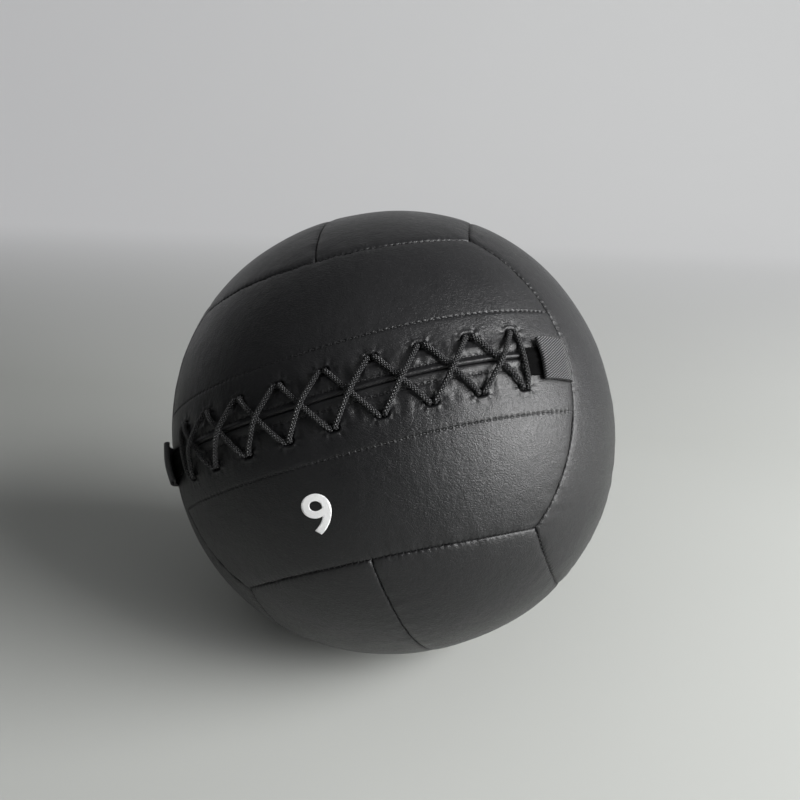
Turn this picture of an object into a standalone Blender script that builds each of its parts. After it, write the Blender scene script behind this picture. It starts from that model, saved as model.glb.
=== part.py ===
"""Soft wall ball, 9 kg, about 350 mm across.

Twelve foam-backed leatherette panels, two to a face, are sewn into a ball that is slightly cubic. The
front face's two panels meet at a filling slit, which is laced shut in two passes through nine pairs of
holes. Inside are the reinforcing facings of the slit, an inner bag, the filling in two packings and a
sack of steel grit at the centre. The ball is modelled upright about its centre, under an empty that
gives it the attitude in which it rests.
"""

import math

import bmesh
import bpy
from mathutils import Matrix, Vector

# The ball as a whole, in metres and radians
FACE_RADIUS = 0.173  # from the centre to the middle of a face
CORNER_PUFF = 0.0035  # how far a corner of three seams stands proud of that
END_SEAM_BOW = 0.008  # how far the front face's two end seams bow out at their middle
BOW_REACH_SHARE = 0.3  # of the radius, over which that bow fades
SLIT_OFFSET = 0.0009  # how far the slit lies above the middle of its face, on the whole
SLIT_DRIFT = 0.0035  # and how far it wanders from there, down on the left and up on the right
SLIT_DRIFT_MIDDLE = 0.036  # from the face's middle to the middle of that rise
SLIT_DRIFT_REACH = 0.06  # half the rise's length
PRESS_DEPTH = 0.0025  # how far the ball's weight presses its underside flat
LEAN = math.radians(-27.3)  # the front face looks up by this much
ROLL = math.radians(-18.8)  # the slit drops to the ball's right, seen from behind
SEAM_SHARE = 1 / math.sqrt(3)  # the seams lie in planes at this share of the radius, as a cube's edges
CORNER_SCORE = 2 / 3  # what the measure of corners gives at a corner

# Clearances
TOUCH_GAP = 0.0003  # between pieces that touch
FACET_GAP = 0.0009  # between round pieces whose facets don't line up
FACING_GAP = 0.0006  # between a panel and the facing behind it

# Panels
WALL = 0.002  # leatherette and its foam backing
SEAM_TURN = 0.006  # from the outer face to the raw edge of a turned-in seam allowance
SEAM_ROUND = 0.0012  # rounding of a panel's edge where it turns in
PANEL_COLUMNS = 12
PANEL_ROWS = 4
PANEL_INSIDE_SHARE = 0.99  # of a panel's half length, past which a column is its end
RESTING_PANEL = "bottom_left_panel"  # it lies under the centre, so its facets are finer
RESTING_COLUMNS = 24
RESTING_ROWS = 8
SMOOTH_ANGLE = math.radians(40)  # a sharper edge is shaded sharp
ROUNDED_ANGLE = math.radians(50)  # a sharper edge of a panel is rounded

# Slit, its lips and its facings
HEM_TURN = 0.004  # depth of the turned hem along the slit
LIP_CREST = 0.0045  # from the slit to the crest of a lip
LIP_END = 0.01  # from the slit to where a lip has died out
UPPER_LIP_RISE = 0.0018
LOWER_LIP_RISE = 0.0009
HOLE_ROW = 0.0182  # from the slit to a row of lace holes
STITCH_ROW = 0.034  # from the slit to the topstitch that holds a facing
FACING = 0.0012  # thickness
FACING_MARGIN = 0.004  # past the topstitch
FACING_START = 0.0035  # from the slit to the facing's edge
FRONT_COLUMNS = 14
OUTER_ROWS = 3  # beyond the topstitch

# Lace
LACE_DIAMETER = 0.0034
LACE_GAP = 0.0007  # between strands that pass each other, and round them in a hole
LACE_PAIRS = 9
LACE_END_MARGIN = 0.0455  # from an end seam to the nearest hole
LACE_FLARE = 0.0006  # extra height of a strand over the leather between its holes
KNOT_GROWTH = 1.7  # of the lace's radius
LACE_TAIL = 0.012
CREST_SHARES = (0.38, 0.62)  # of a strand's way, where it passes over the slit's lips
HUMP_SHARES = ((0.34, 0), (0.44, 1), (0.56, 1), (0.66, 0))  # of the way and of the climb over a strand
BAR_SHARES = ((0.1, 0), (0.5, 1), (0.9, 0))  # of the way and of the last dip behind the slit
KNOT_SHARES = ((0.3, 1), (0.5, 1), (0.7, 0), (1, 0))  # of the tail and of the growth

# Tapes and webbing loops at the ends of the slit
TAPE_WIDTH = 0.0185
TAPE = 0.001  # thickness
WEBBING_WIDTH = 0.027
WEBBING = 0.0015  # thickness
LOOP_LENGTH = 0.028  # from the end seam to the fold
LOOP_GAP = 0.0028  # between the two layers at the fold
LOOP_COLUMNS = 4
FOLD_STEPS = 6

# Inner bag and filling
BAG = 0.0008  # thickness
BAG_MOUTH_LENGTH = 0.15
BAG_MOUTH_WIDTH = 0.012
ROUND_SEGMENTS = 20
ROUND_RINGS = 12

# Sack of grit
SACK_RADIUS = 0.06
SACK = 0.001  # thickness
SACK_NECK_RADIUS = 0.011
SACK_NECK_LENGTH = 0.022
TIE_DIAMETER = 0.004
SACK_STEPS = 16
SACK_RINGS = 9
TIE_STEPS = 16
TIE_SIDES = 6
POCKET_SHOULDER_SHARE = 0.98  # of the height of the neck's foot, where its pocket widens
MERGE_DISTANCE = 0.00001

# Cutters
OVERRUN = 0.004  # past the wall that is cut
HOLE_SIDES = 8

AXIS_X = Vector((1, 0, 0))
AXIS_Y = Vector((0, 1, 0))
AXIS_Z = Vector((0, 0, 1))

# Each face's outward normal, the way its two panels run, and the way from one to the other
FACES = {
    "front": (-AXIS_Y, AXIS_X, AXIS_Z),
    "back": (AXIS_Y, AXIS_X, AXIS_Z),
    "right": (AXIS_X, AXIS_Z, AXIS_Y),
    "left": (-AXIS_X, AXIS_Z, AXIS_Y),
    "top": (AXIS_Z, AXIS_Y, AXIS_X),
    "bottom": (-AXIS_Z, AXIS_Y, AXIS_X),
}
HALVES = {
    "front": ("lower", "upper"),
    "back": ("lower", "upper"),
    "right": ("front", "rear"),
    "left": ("front", "rear"),
    "top": ("left", "right"),
    "bottom": ("left", "right"),
}
FACE_WIDTH_ANGLE = math.asin(SEAM_SHARE)  # from a face's centre seam to its side seam

LACE_RADIUS = LACE_DIAMETER / 2
HOLE_RADIUS = LACE_RADIUS + LACE_GAP
HALF_PAIR = (LACE_DIAMETER + LACE_GAP) / 2  # from a hole's middle to each of the two strands in it
FACING_DEPTH = WALL + FACING_GAP
WALL_STACK = FACING_DEPTH + FACING  # panel and facing together, at the holes
INNER_BAR_DEPTH = HEM_TURN + TOUCH_GAP + LACE_RADIUS
DEEP_BAR_DEPTH = INNER_BAR_DEPTH + LACE_DIAMETER + LACE_GAP
BAG_DEPTH = SEAM_TURN + FACET_GAP
BAG_DENT_DEPTH = DEEP_BAR_DEPTH + LACE_RADIUS + FACET_GAP

ATTITUDE = Matrix.Rotation(LEAN, 4, "X") @ Matrix.Rotation(ROLL, 4, "Y")
UP = ATTITUDE.to_3x3().transposed() @ AXIS_Z  # true up, as the upright ball sees it


def skin_radius(direction):
    """The outer surface: a sphere that swells towards the cube's corners."""
    cubic = 1 - sum(component**4 for component in direction)
    return FACE_RADIUS + CORNER_PUFF * cubic / CORNER_SCORE


REST_HEIGHT = skin_radius(-UP) - PRESS_DEPTH


def eased(value):
    """A smooth step from 0 to 1."""
    held = min(1.0, max(0.0, value))
    return held * held * (3 - 2 * held)


def slit_rise(direction):
    """How far the slit lies above the middle of the front face, abreast of a direction."""
    along = FACE_RADIUS * math.atan2(direction.x, -direction.y)
    return SLIT_OFFSET + SLIT_DRIFT * math.tanh((along - SLIT_DRIFT_MIDDLE) / SLIT_DRIFT_REACH)


def across_face(direction):
    """1 along the middle of the front face, and 0 at its upper and lower seams."""
    return max(0.0, 1 - (direction.z / SEAM_SHARE) ** 2)


def drifted(direction):
    """Carries the directions near the slit with it, up or down."""
    share = across_face(direction) * eased(-direction.y / SEAM_SHARE)
    return (direction + AXIS_Z * (slit_rise(direction) / FACE_RADIUS * share)).normalized()


def bowed(direction):
    """Moves the directions near the front face's end seams, so that these seams bow outwards."""
    near = math.exp(-(((direction.y + SEAM_SHARE) / BOW_REACH_SHARE) ** 2))
    bow = END_SEAM_BOW / FACE_RADIUS * across_face(direction) * near
    return (direction + AXIS_Y * bow).normalized()


def pressed(point, level):
    """Lifts a point that lies under the given height above the ground to that height."""
    height = point.dot(UP) + REST_HEIGHT
    return point + UP * max(0.0, level - height)


def face_direction(face, cross, along, end_inset=0.0):
    """cross is the angle from the face's centre seam; along runs from -1 to 1 between its end seams."""
    normal, lengthwise, sideways = FACES[face]
    reach = math.acos(SEAM_SHARE / math.cos(cross)) - end_inset / (FACE_RADIUS * math.cos(cross))
    turn = along * reach
    level = math.cos(turn) * normal + math.sin(turn) * lengthwise
    return drifted(bowed(math.cos(cross) * level + math.sin(cross) * sideways))


def front_direction(along, cross):
    """A direction on the front face, at these two lengths from its middle."""
    turn = along / FACE_RADIUS
    lift = cross / FACE_RADIUS
    level = AXIS_X * math.sin(turn) - AXIS_Y * math.cos(turn)
    return drifted(math.cos(lift) * level + AXIS_Z * math.sin(lift))


def front_end():
    """The length along the slit from its middle to an end seam."""
    end = face_direction("front", 0.0, 1.0)
    return FACE_RADIUS * math.atan2(end.x, -end.y)


def material(name, colour, roughness, metallic=0.0):
    made = bpy.data.materials.new(name)
    made.use_nodes = True
    shader = made.node_tree.nodes["Principled BSDF"]
    shader.inputs["Base Color"].default_value = (*colour, 1)
    shader.inputs["Roughness"].default_value = roughness
    shader.inputs["Metallic"].default_value = metallic
    return made


def new_object(name, mesh, collection, finish=None):
    made = bpy.data.objects.new(name, mesh)
    collection.objects.link(made)
    if finish:
        mesh.materials.append(finish)
        mesh.shade_smooth()
        mesh.set_sharp_from_angle(angle=SMOOTH_ANGLE)
    return made


def mesh_from(bm, name):
    mesh = bpy.data.meshes.new(name)
    bm.to_mesh(mesh)
    bm.free()
    return mesh


def cutter(name, mesh, cutters):
    made = new_object(name, mesh, cutters)
    made.hide_render = True
    made.display_type = "WIRE"
    return made


def cut(target, tool, name):
    boolean = target.modifiers.new(name, "BOOLEAN")
    boolean.operation = "DIFFERENCE"
    boolean.solver = "EXACT"
    boolean.object = tool


def thicken(target, thickness):
    """Gives an open surface its wall, on its inner side."""
    wall = target.modifiers.new("Wall", "SOLIDIFY")
    wall.thickness = thickness
    wall.offset = -1
    wall.use_even_offset = True


def face_outwards(bm):
    """Turns an open surface's faces away from the ball's centre."""
    bmesh.ops.recalc_face_normals(bm, faces=bm.faces)
    bm.faces.ensure_lookup_table()
    first = bm.faces[0]
    if first.normal.dot(first.calc_center_median()) < 0:
        bmesh.ops.reverse_faces(bm, faces=bm.faces)


def plain_rows(count):
    """(angle from the centre seam, rise) of each row of a plain panel."""
    first = TOUCH_GAP / 2 / FACE_RADIUS
    last = FACE_WIDTH_ANGLE - first
    return [(first + (last - first) * row / count, 0.0) for row in range(count + 1)]


def slit_rows(lip_rise):
    """The same for a panel beside the slit, whose edge is a rolled lip."""
    side = FACE_WIDTH_ANGLE * FACE_RADIUS - TOUCH_GAP / 2
    lengths = [TOUCH_GAP / 2, LIP_CREST, LIP_END, HOLE_ROW, STITCH_ROW]
    spare = side - STITCH_ROW
    lengths += [STITCH_ROW + spare * step / OUTER_ROWS for step in range(1, OUTER_ROWS + 1)]
    return [(length / FACE_RADIUS, lip_rise if length == LIP_CREST else 0.0) for length in lengths]


def turn_in(bm, places, on_slit):
    """Turns a panel's edge inwards as its seam allowance, or as a shallower hem along the slit."""
    rim = [edge for edge in bm.edges if edge.is_boundary]
    for vert in bmesh.ops.extrude_edge_only(bm, edges=rim)["geom"]:
        if not isinstance(vert, bmesh.types.BMVert):
            continue
        source = next(edge.other_vert(vert) for edge in vert.link_edges if edge.other_vert(vert) in places)
        along, row = places[source]
        hem = on_slit and row == 0 and abs(along) < PANEL_INSIDE_SHARE
        vert.co -= vert.co.normalized() * (HEM_TURN if hem else SEAM_TURN)


def make_panel(name, face, side, rows, columns, finish, collection):
    """One panel as an open tray: its outer face and the edges that turn in."""
    bm = bmesh.new()
    bmesh.ops.create_grid(bm, x_segments=columns, y_segments=len(rows) - 1, size=1.0)
    places = {}
    for vert in bm.verts:
        row = round((vert.co.y + 1) / 2 * (len(rows) - 1))
        places[vert] = (vert.co.x, row)
        cross, rise = rows[row]
        direction = face_direction(face, side * cross, vert.co.x, TOUCH_GAP / 2)
        vert.co = pressed(direction * (skin_radius(direction) + rise), 0.0)
    turn_in(bm, places, face == "front")
    face_outwards(bm)
    panel = new_object(name, mesh_from(bm, name), collection, finish)
    rounding = panel.modifiers.new("Seam rounding", "BEVEL")
    rounding.width = SEAM_ROUND
    rounding.segments = 1
    rounding.limit_method = "ANGLE"
    rounding.angle_limit = ROUNDED_ANGLE
    thicken(panel, WALL)
    return panel


def make_facing(name, side, finish, collection):
    """A strip behind one lip, from the slit's hem to just past the topstitch."""
    lengths = [FACING_START, LIP_END, HOLE_ROW, STITCH_ROW, STITCH_ROW + FACING_MARGIN]
    inset = WALL + TOUCH_GAP + FACET_GAP
    bm = bmesh.new()
    bmesh.ops.create_grid(bm, x_segments=FRONT_COLUMNS, y_segments=len(lengths) - 1, size=1.0)
    for vert in bm.verts:
        row = round((vert.co.y + 1) / 2 * (len(lengths) - 1))
        direction = face_direction("front", side * lengths[row] / FACE_RADIUS, vert.co.x, inset)
        vert.co = direction * (skin_radius(direction) - FACING_DEPTH)
    face_outwards(bm)
    facing = new_object(name, mesh_from(bm, name), collection, finish)
    thicken(facing, FACING)
    return facing


def hole_place(pair, side, half=0.0):
    """The direction of a lace hole, or of the left (-1) or right (1) strand in it. Pair 0 is rightmost."""
    reach = front_end() - LACE_END_MARGIN
    along = reach * (1 - 2 * pair / (LACE_PAIRS - 1))
    return front_direction(along + half * HALF_PAIR, side * HOLE_ROW)


def make_hole_cutters(name, side, cutters):
    """One long-sided plug through the panel and its facing for each hole of a row."""
    bm = bmesh.new()
    for pair in range(LACE_PAIRS):
        direction = hole_place(pair, side)
        plug = bmesh.ops.create_cone(
            bm,
            cap_ends=True,
            segments=HOLE_SIDES,
            radius1=HOLE_RADIUS,
            radius2=HOLE_RADIUS,
            depth=WALL_STACK + 2 * OVERRUN,
            matrix=Matrix.Rotation(math.pi / HOLE_SIDES, 4, "Z"),
        )["verts"]
        for vert in plug:
            vert.co.x += math.copysign(HALF_PAIR, vert.co.x)
        across = AXIS_Z.cross(direction).normalized()
        turned = Matrix((across, direction.cross(across), direction)).transposed().to_4x4()
        turned.translation = direction * (skin_radius(direction) - WALL_STACK / 2)
        bmesh.ops.transform(bm, matrix=turned, verts=plug)
    return cutter(name, mesh_from(bm, name), cutters)


def spherical_run(start, end, places):
    """Points between two directions: each place is a share of the way and a height over the leather."""
    points = []
    for share, height in places:
        direction = start.slerp(end, share)
        points.append(direction * (skin_radius(direction) + height))
    return points


def rounded_run(start, end, level, height, middle):
    """A run from one hole to the next, bent round the edge of each hole at the given level."""
    length = start.angle(end) * FACE_RADIUS
    outward = math.copysign(1, height)
    bend = HOLE_RADIUS
    knee = bend * (1 - math.sqrt(0.5))
    near = [(knee / length, level + outward * (bend - knee)), (bend / length, level + outward * bend)]
    far = [(1 - share, rise) for share, rise in reversed(near)]
    return spherical_run(start, end, near + middle + far)


def lace_points():
    """The lace's whole route. Every outer strand runs from an upper hole to a lower one, and each
    inner bar leads straight up to the next. The first pass goes right, the second comes back over it.
    """
    last = LACE_PAIRS - 1
    visits = [last, *range(last, -1, -1), *range(LACE_PAIRS)]
    over = LACE_RADIUS + TOUCH_GAP + LACE_FLARE
    points = []
    for step in range(len(visits) - 1):
        start_pair, end_pair = visits[step], visits[step + 1]
        second_pass = step > last + 1
        leans_right = end_pair < start_pair or (start_pair == end_pair == 0)
        upper = hole_place(start_pair, 1, 1 if leans_right else -1)
        arrives_left = end_pair < start_pair or (start_pair == end_pair == last)
        lower = hole_place(end_pair, -1, -1 if arrives_left else 1)
        crest = over + UPPER_LIP_RISE
        middle = [(share, crest) for share in CREST_SHARES]
        if second_pass:
            climb = LACE_DIAMETER + LACE_GAP
            middle = [(share, crest + climb * height) for share, height in HUMP_SHARES]
        points += hole_middle(upper)
        points += rounded_run(upper, lower, 0.0, over, middle)
        points += hole_middle(lower)
        if step == len(visits) - 2:
            break
        next_upper = hole_place(end_pair, 1, -1 if step >= last + 1 else 1)
        depth = DEEP_BAR_DEPTH if step > last else INNER_BAR_DEPTH
        dip = LACE_GAP if step > last else 0.0
        middle = [(share, dip * (1 - height) - depth) for share, height in BAR_SHARES]
        points += rounded_run(lower, next_upper, -WALL_STACK - FACING_GAP, -depth, middle)
    return points


def hole_middle(direction):
    return [direction * (skin_radius(direction) - WALL_STACK / 2)]


def knot_points(side, half):
    """(point, radius factor) of a stopper knot behind a hole of the leftmost pair, from its hole on."""
    start = hole_place(LACE_PAIRS - 1, side, half)
    away = front_direction(LACE_TAIL, 0.0) - front_direction(0.0, 0.0)
    away = (away * half).normalized() * LACE_TAIL
    knot = LACE_RADIUS * KNOT_GROWTH
    depth = WALL_STACK + FACET_GAP + knot
    steps = [(0.0, WALL_STACK + LACE_RADIUS, 1)]
    steps += [(share, depth, 1 + (KNOT_GROWTH - 1) * thick) for share, thick in KNOT_SHARES]
    found = []
    for share, deep, growth in steps:
        place = start * (skin_radius(start) - deep) + away * share
        radial = place.normalized()
        found.append((radial * (skin_radius(radial) - deep), growth))
    return found


def tube_object(name, placed, radius, finish, collection):
    """A closed tube through the points; each has its own share of the radius."""
    curve = bpy.data.curves.new(name, "CURVE")
    curve.dimensions = "3D"
    curve.bevel_depth = radius
    curve.bevel_resolution = 1
    curve.use_fill_caps = True
    spline = curve.splines.new("POLY")
    spline.points.add(len(placed) - 1)
    for target, (point, growth) in zip(spline.points, placed):
        target.co = (*point, 1)
        target.radius = growth
    curve.materials.append(finish)
    made = bpy.data.objects.new(name, curve)
    collection.objects.link(made)
    return made


def make_lace(finish, collection):
    start_knot = knot_points(1, -1)[::-1]
    end_knot = knot_points(-1, 1)
    route = [(point, 1) for point in lace_points()]
    return tube_object("lace", start_knot + route + end_knot, LACE_RADIUS, finish, collection)


def make_tape(name, side, finish, collection):
    """A flat tape over one end of the slit, from the lace's end bar to the end seam."""
    outer = front_end()
    inner = outer - LACE_END_MARGIN + HALF_PAIR + HOLE_RADIUS + TOUCH_GAP
    bm = bmesh.new()
    bmesh.ops.create_grid(bm, x_segments=LOOP_COLUMNS, y_segments=2, size=1.0)
    for vert in bm.verts:
        along = inner + (outer - inner) * (vert.co.x + 1) / 2
        direction = front_direction(side * along, vert.co.y * TAPE_WIDTH / 2)
        vert.co = direction * (skin_radius(direction) + UPPER_LIP_RISE + TOUCH_GAP + TAPE)
    face_outwards(bm)
    tape = new_object(name, mesh_from(bm, name), collection, finish)
    thicken(tape, TAPE)
    return tape


def loop_section():
    """(length from the end seam, height over the tape) along the middle of a loop's webbing."""
    half = WEBBING / 2
    round_fold = (LOOP_GAP + WEBBING) / 2
    low = TOUCH_GAP + half
    straight = LOOP_LENGTH - half - round_fold
    section = [(share * straight, low) for share in (0.0, 0.5, 1.0)]
    for step in range(1, FOLD_STEPS):
        turn = math.pi * step / FOLD_STEPS
        section.append((straight + round_fold * math.sin(turn), low + round_fold * (1 - math.cos(turn))))
    top = low + 2 * round_fold
    closed = low + WEBBING + TOUCH_GAP
    section += [(straight, top), (straight / 2, (top + closed) / 2), (0.0, closed)]
    return section


def make_loop(name, side, finish, collection):
    """Webbing folded back on itself, with both ends in the end seam."""
    section = loop_section()
    bm = bmesh.new()
    bmesh.ops.create_grid(bm, x_segments=len(section) - 1, y_segments=LOOP_COLUMNS, size=1.0)
    seam = front_end()
    seat = UPPER_LIP_RISE + 2 * TOUCH_GAP + TAPE
    for vert in bm.verts:
        length, height = section[round((vert.co.x + 1) / 2 * (len(section) - 1))]
        direction = front_direction(side * (seam - length), vert.co.y * WEBBING_WIDTH / 2)
        vert.co = direction * (skin_radius(direction) + seat + height)
    bmesh.ops.recalc_face_normals(bm, faces=bm.faces)
    loop = new_object(name, mesh_from(bm, name), collection, finish)
    thicken(loop, WEBBING)
    loop.modifiers["Wall"].offset = 0
    return loop


def bag_depth(direction):
    """The bag's depth under the leather: deeper behind the slit, where the lace's bars press it in."""
    if direction.y > 0:
        return BAG_DEPTH
    across = abs(direction.z * FACE_RADIUS - slit_rise(direction))
    along = math.atan2(abs(direction.x), -direction.y) * FACE_RADIUS
    band = HOLE_ROW + HOLE_RADIUS + LACE_RADIUS
    wide = 1 - eased((across - band) / (2 * band))
    long = 1 - eased((along - front_end() + LACE_END_MARGIN / 2) / LACE_END_MARGIN)
    return BAG_DEPTH + (BAG_DENT_DEPTH - BAG_DEPTH) * wide * long


def round_body(shrink):
    """A ball of the inner bag's form, this much smaller."""
    bm = bmesh.new()
    bmesh.ops.create_uvsphere(bm, u_segments=ROUND_SEGMENTS, v_segments=ROUND_RINGS, radius=1.0)
    for vert in bm.verts:
        direction = vert.co.normalized()
        depth = bag_depth(direction) + shrink
        vert.co = pressed(direction * (skin_radius(direction) - depth), depth)
    return bm


def make_inner_bag(finish, collection, cutters):
    bag = new_object("inner_bag", mesh_from(round_body(0.0), "inner_bag"), collection, finish)
    thicken(bag, BAG)
    bm = bmesh.new()
    bmesh.ops.create_cone(
        bm,
        cap_ends=True,
        segments=2 * HOLE_SIDES,
        radius1=BAG_MOUTH_WIDTH / 2,
        radius2=BAG_MOUTH_WIDTH / 2,
        depth=2 * (BAG + BAG_DENT_DEPTH + OVERRUN),
    )
    bmesh.ops.scale(bm, vec=(BAG_MOUTH_LENGTH / BAG_MOUTH_WIDTH, 1, 1), verts=bm.verts)
    mouth = Matrix.Translation(-AXIS_Y * FACE_RADIUS) @ Matrix.Rotation(math.pi / 2, 4, "X")
    bmesh.ops.transform(bm, matrix=mouth, verts=bm.verts)
    cut(bag, cutter("bag_mouth_cutter", mesh_from(bm, "bag_mouth_cutter"), cutters), "Mouth")
    return bag


def make_filling(name, side, pocket, finish, collection):
    """One packing of the filling, in front of the core or behind it."""
    bm = round_body(BAG + FACET_GAP)
    flat = bmesh.ops.bisect_plane(
        bm,
        geom=[*bm.verts, *bm.edges, *bm.faces],
        plane_co=AXIS_Y * side * TOUCH_GAP / 2,
        plane_no=AXIS_Y * side,
        clear_inner=True,
    )
    rim = [part for part in flat["geom_cut"] if isinstance(part, bmesh.types.BMEdge)]
    bmesh.ops.holes_fill(bm, edges=rim)
    bmesh.ops.recalc_face_normals(bm, faces=bm.faces)
    filling = new_object(name, mesh_from(bm, name), collection, finish)
    cut(filling, pocket, "Pocket")
    return filling


def sack_outline(grow):
    """(radius, height) of the sack from the middle of its base to the rim of its neck, grown by a length."""
    radius = SACK_RADIUS + grow
    neck = SACK_NECK_RADIUS + grow
    base = -math.pi / 2
    top = math.acos(min(1.0, neck / radius))
    arc = [base + (top - base) * step / SACK_RINGS for step in range(SACK_RINGS + 1)]
    outline = [(radius * math.cos(angle), radius * math.sin(angle)) for angle in arc]
    outline[0] = (0.0, -radius)
    shoulder = outline[-1][1]
    outline.append((neck, shoulder + SACK_NECK_LENGTH))
    return outline


def turned_object(name, outline, collection, finish=None):
    """An outline of (radius, height) turned round Z, then laid so that its top points to the front."""
    mesh = bpy.data.meshes.new(name)
    verts = [(radius, 0.0, height) for radius, height in outline]
    edges = [(index, index + 1) for index in range(len(verts) - 1)]
    mesh.from_pydata(verts, edges, [])
    made = new_object(name, mesh, collection, finish)
    screw = made.modifiers.new("Turn", "SCREW")
    screw.angle = 2 * math.pi
    screw.steps = SACK_STEPS
    screw.render_steps = SACK_STEPS
    screw.use_merge_vertices = True
    screw.merge_threshold = MERGE_DISTANCE
    screw.use_normal_calculate = True
    made.rotation_euler.x = math.pi / 2
    return made


def make_sack_pieces(finishes, collection):
    neck_top = sack_outline(0.0)[-1][1]
    outside = sack_outline(0.0)
    inside = sack_outline(-SACK)
    inside[-1] = (inside[-1][0], neck_top)
    sack = turned_object("weight_sack", (outside + inside[::-1])[::-1], collection, finishes["sack"])
    grit = sack_outline(-SACK - TOUCH_GAP)[:-1]
    grit.append((0.0, grit[-1][1]))
    fill = turned_object("weight_grit", grit[::-1], collection, finishes["grit"])
    bm = bmesh.new()
    ring = SACK_NECK_RADIUS + TOUCH_GAP + TIE_DIAMETER / 2
    circle = bmesh.ops.create_circle(bm, segments=TIE_SIDES, radius=TIE_DIAMETER / 2)["verts"]
    upright = Matrix.Translation(AXIS_X * ring) @ Matrix.Rotation(math.pi / 2, 4, "X")
    bmesh.ops.transform(bm, matrix=upright, verts=circle)
    bmesh.ops.spin(
        bm, geom=bm.edges[:], axis=AXIS_Z, cent=(0, 0, 0), angle=2 * math.pi, steps=TIE_STEPS, use_merge=True
    )
    bmesh.ops.recalc_face_normals(bm, faces=bm.faces)
    tie = new_object("sack_tie", mesh_from(bm, "sack_tie"), collection, finishes["tie"])
    tie.rotation_euler.x = math.pi / 2
    tie.location = -AXIS_Y * (neck_top - SACK_NECK_LENGTH / 2)
    return [sack, fill, tie]


def make_pocket_cutter(cutters):
    """The hollow that the sack, its neck and its tie need in the filling."""
    outline = sack_outline(FACET_GAP)
    neck = SACK_NECK_RADIUS + TIE_DIAMETER + TOUCH_GAP + FACET_GAP
    outline[-2] = (neck, outline[-2][1] * POCKET_SHOULDER_SHARE)
    top = sack_outline(0.0)[-1][1] + FACET_GAP
    outline[-1] = (neck, top)
    outline.append((0.0, top))
    tool = turned_object("pocket_cutter", outline[::-1], cutters)
    tool.hide_render = True
    tool.display_type = "WIRE"
    return tool


def finishes():
    black = (0.012, 0.012, 0.013)
    return {
        "leather": material("black_leatherette", black, 0.42),
        "facing": material("black_nylon_facing", (0.02, 0.02, 0.021), 0.8),
        "lace": material("black_braided_lace", (0.015, 0.015, 0.016), 0.75),
        "tape": material("black_tape", (0.008, 0.008, 0.009), 0.9),
        "webbing": material("black_webbing", (0.022, 0.022, 0.024), 0.7),
        "bag": material("natural_cotton_bag", (0.55, 0.52, 0.45), 0.9),
        "filling": material("textile_filling", (0.35, 0.35, 0.37), 1.0),
        "sack": material("canvas_sack", (0.42, 0.36, 0.26), 0.9),
        "grit": material("steel_grit", (0.3, 0.3, 0.31), 0.45, 0.9),
        "tie": material("tie_cord", (0.7, 0.68, 0.62), 0.85),
    }


def make_panels(looks, ball, cutters):
    lips = {1: UPPER_LIP_RISE, -1: LOWER_LIP_RISE}
    made = []
    for face, (low_name, high_name) in HALVES.items():
        for side, half in ((-1, low_name), (1, high_name)):
            name = f"{face}_{half}_panel"
            front = face == "front"
            resting = name == RESTING_PANEL
            rows = slit_rows(lips[side]) if front else plain_rows(RESTING_ROWS if resting else PANEL_ROWS)
            columns = FRONT_COLUMNS if front else RESTING_COLUMNS if resting else PANEL_COLUMNS
            panel = make_panel(name, face, side, rows, columns, looks["leather"], ball)
            made.append(panel)
            if front:
                holes = make_hole_cutters(f"{half}_hole_cutters", side, cutters)
                facing = make_facing(f"{half}_facing", side, looks["facing"], ball)
                cut(panel, holes, "Lace holes")
                cut(facing, holes, "Lace holes")
                made += [facing, holes]
    return made


def main():
    for old in list(bpy.data.objects):
        bpy.data.objects.remove(old)
    ball = bpy.data.collections.new("wall_ball")
    cutters = bpy.data.collections.new("wall_ball_cutters")
    bpy.context.scene.collection.children.link(ball)
    bpy.context.scene.collection.children.link(cutters)
    looks = finishes()
    made = make_panels(looks, ball, cutters)
    made.append(make_lace(looks["lace"], ball))
    for end, side in (("right", 1), ("left", -1)):
        made.append(make_tape(f"{end}_end_tape", side, looks["tape"], ball))
        made.append(make_loop(f"{end}_webbing_loop", side, looks["webbing"], ball))
    made.append(make_inner_bag(looks["bag"], ball, cutters))
    pocket = make_pocket_cutter(cutters)
    made.append(make_filling("front_filling", -1, pocket, looks["filling"], ball))
    made.append(make_filling("rear_filling", 1, pocket, looks["filling"], ball))
    made += make_sack_pieces(looks, ball)
    attitude = bpy.data.objects.new("ball_attitude", None)
    ball.objects.link(attitude)
    attitude.matrix_world = Matrix.Translation(AXIS_Z * REST_HEIGHT) @ ATTITUDE
    for piece in [*made, pocket, *[tool for tool in cutters.objects]]:
        piece.parent = attitude


main()
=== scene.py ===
"""A soft 9 kg wall ball of black leatherette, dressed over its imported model.

Twelve stuffed panels are sewn together, two to a face. The front face's slit is laced shut with a braided
lace, between two webbing loops. Every piece is worked out on the upright ball, about its centre, and is
then set down in the attitude in which the ball rests. Lengths are in metres.
"""

import math

import bmesh
import bpy
import numpy as np
from bpy.props import FloatProperty, FloatVectorProperty, PointerProperty, StringProperty
from mathutils import Matrix, Vector, noise


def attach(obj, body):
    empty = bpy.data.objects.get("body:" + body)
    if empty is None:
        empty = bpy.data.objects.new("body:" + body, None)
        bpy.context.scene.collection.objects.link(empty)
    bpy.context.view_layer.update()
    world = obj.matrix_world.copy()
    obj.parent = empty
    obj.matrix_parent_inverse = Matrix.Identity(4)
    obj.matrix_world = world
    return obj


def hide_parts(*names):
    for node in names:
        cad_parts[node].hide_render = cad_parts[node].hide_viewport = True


bl_info = {
    "name": "Laced Wall Ball",
    "version": (1, 0, 0),
    "blender": (4, 5, 0),
    "location": "3D View > Sidebar > Wall Ball",
    "description": "Sews, laces and dresses a soft wall ball over its packed model",
    "category": "Object",
}

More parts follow.
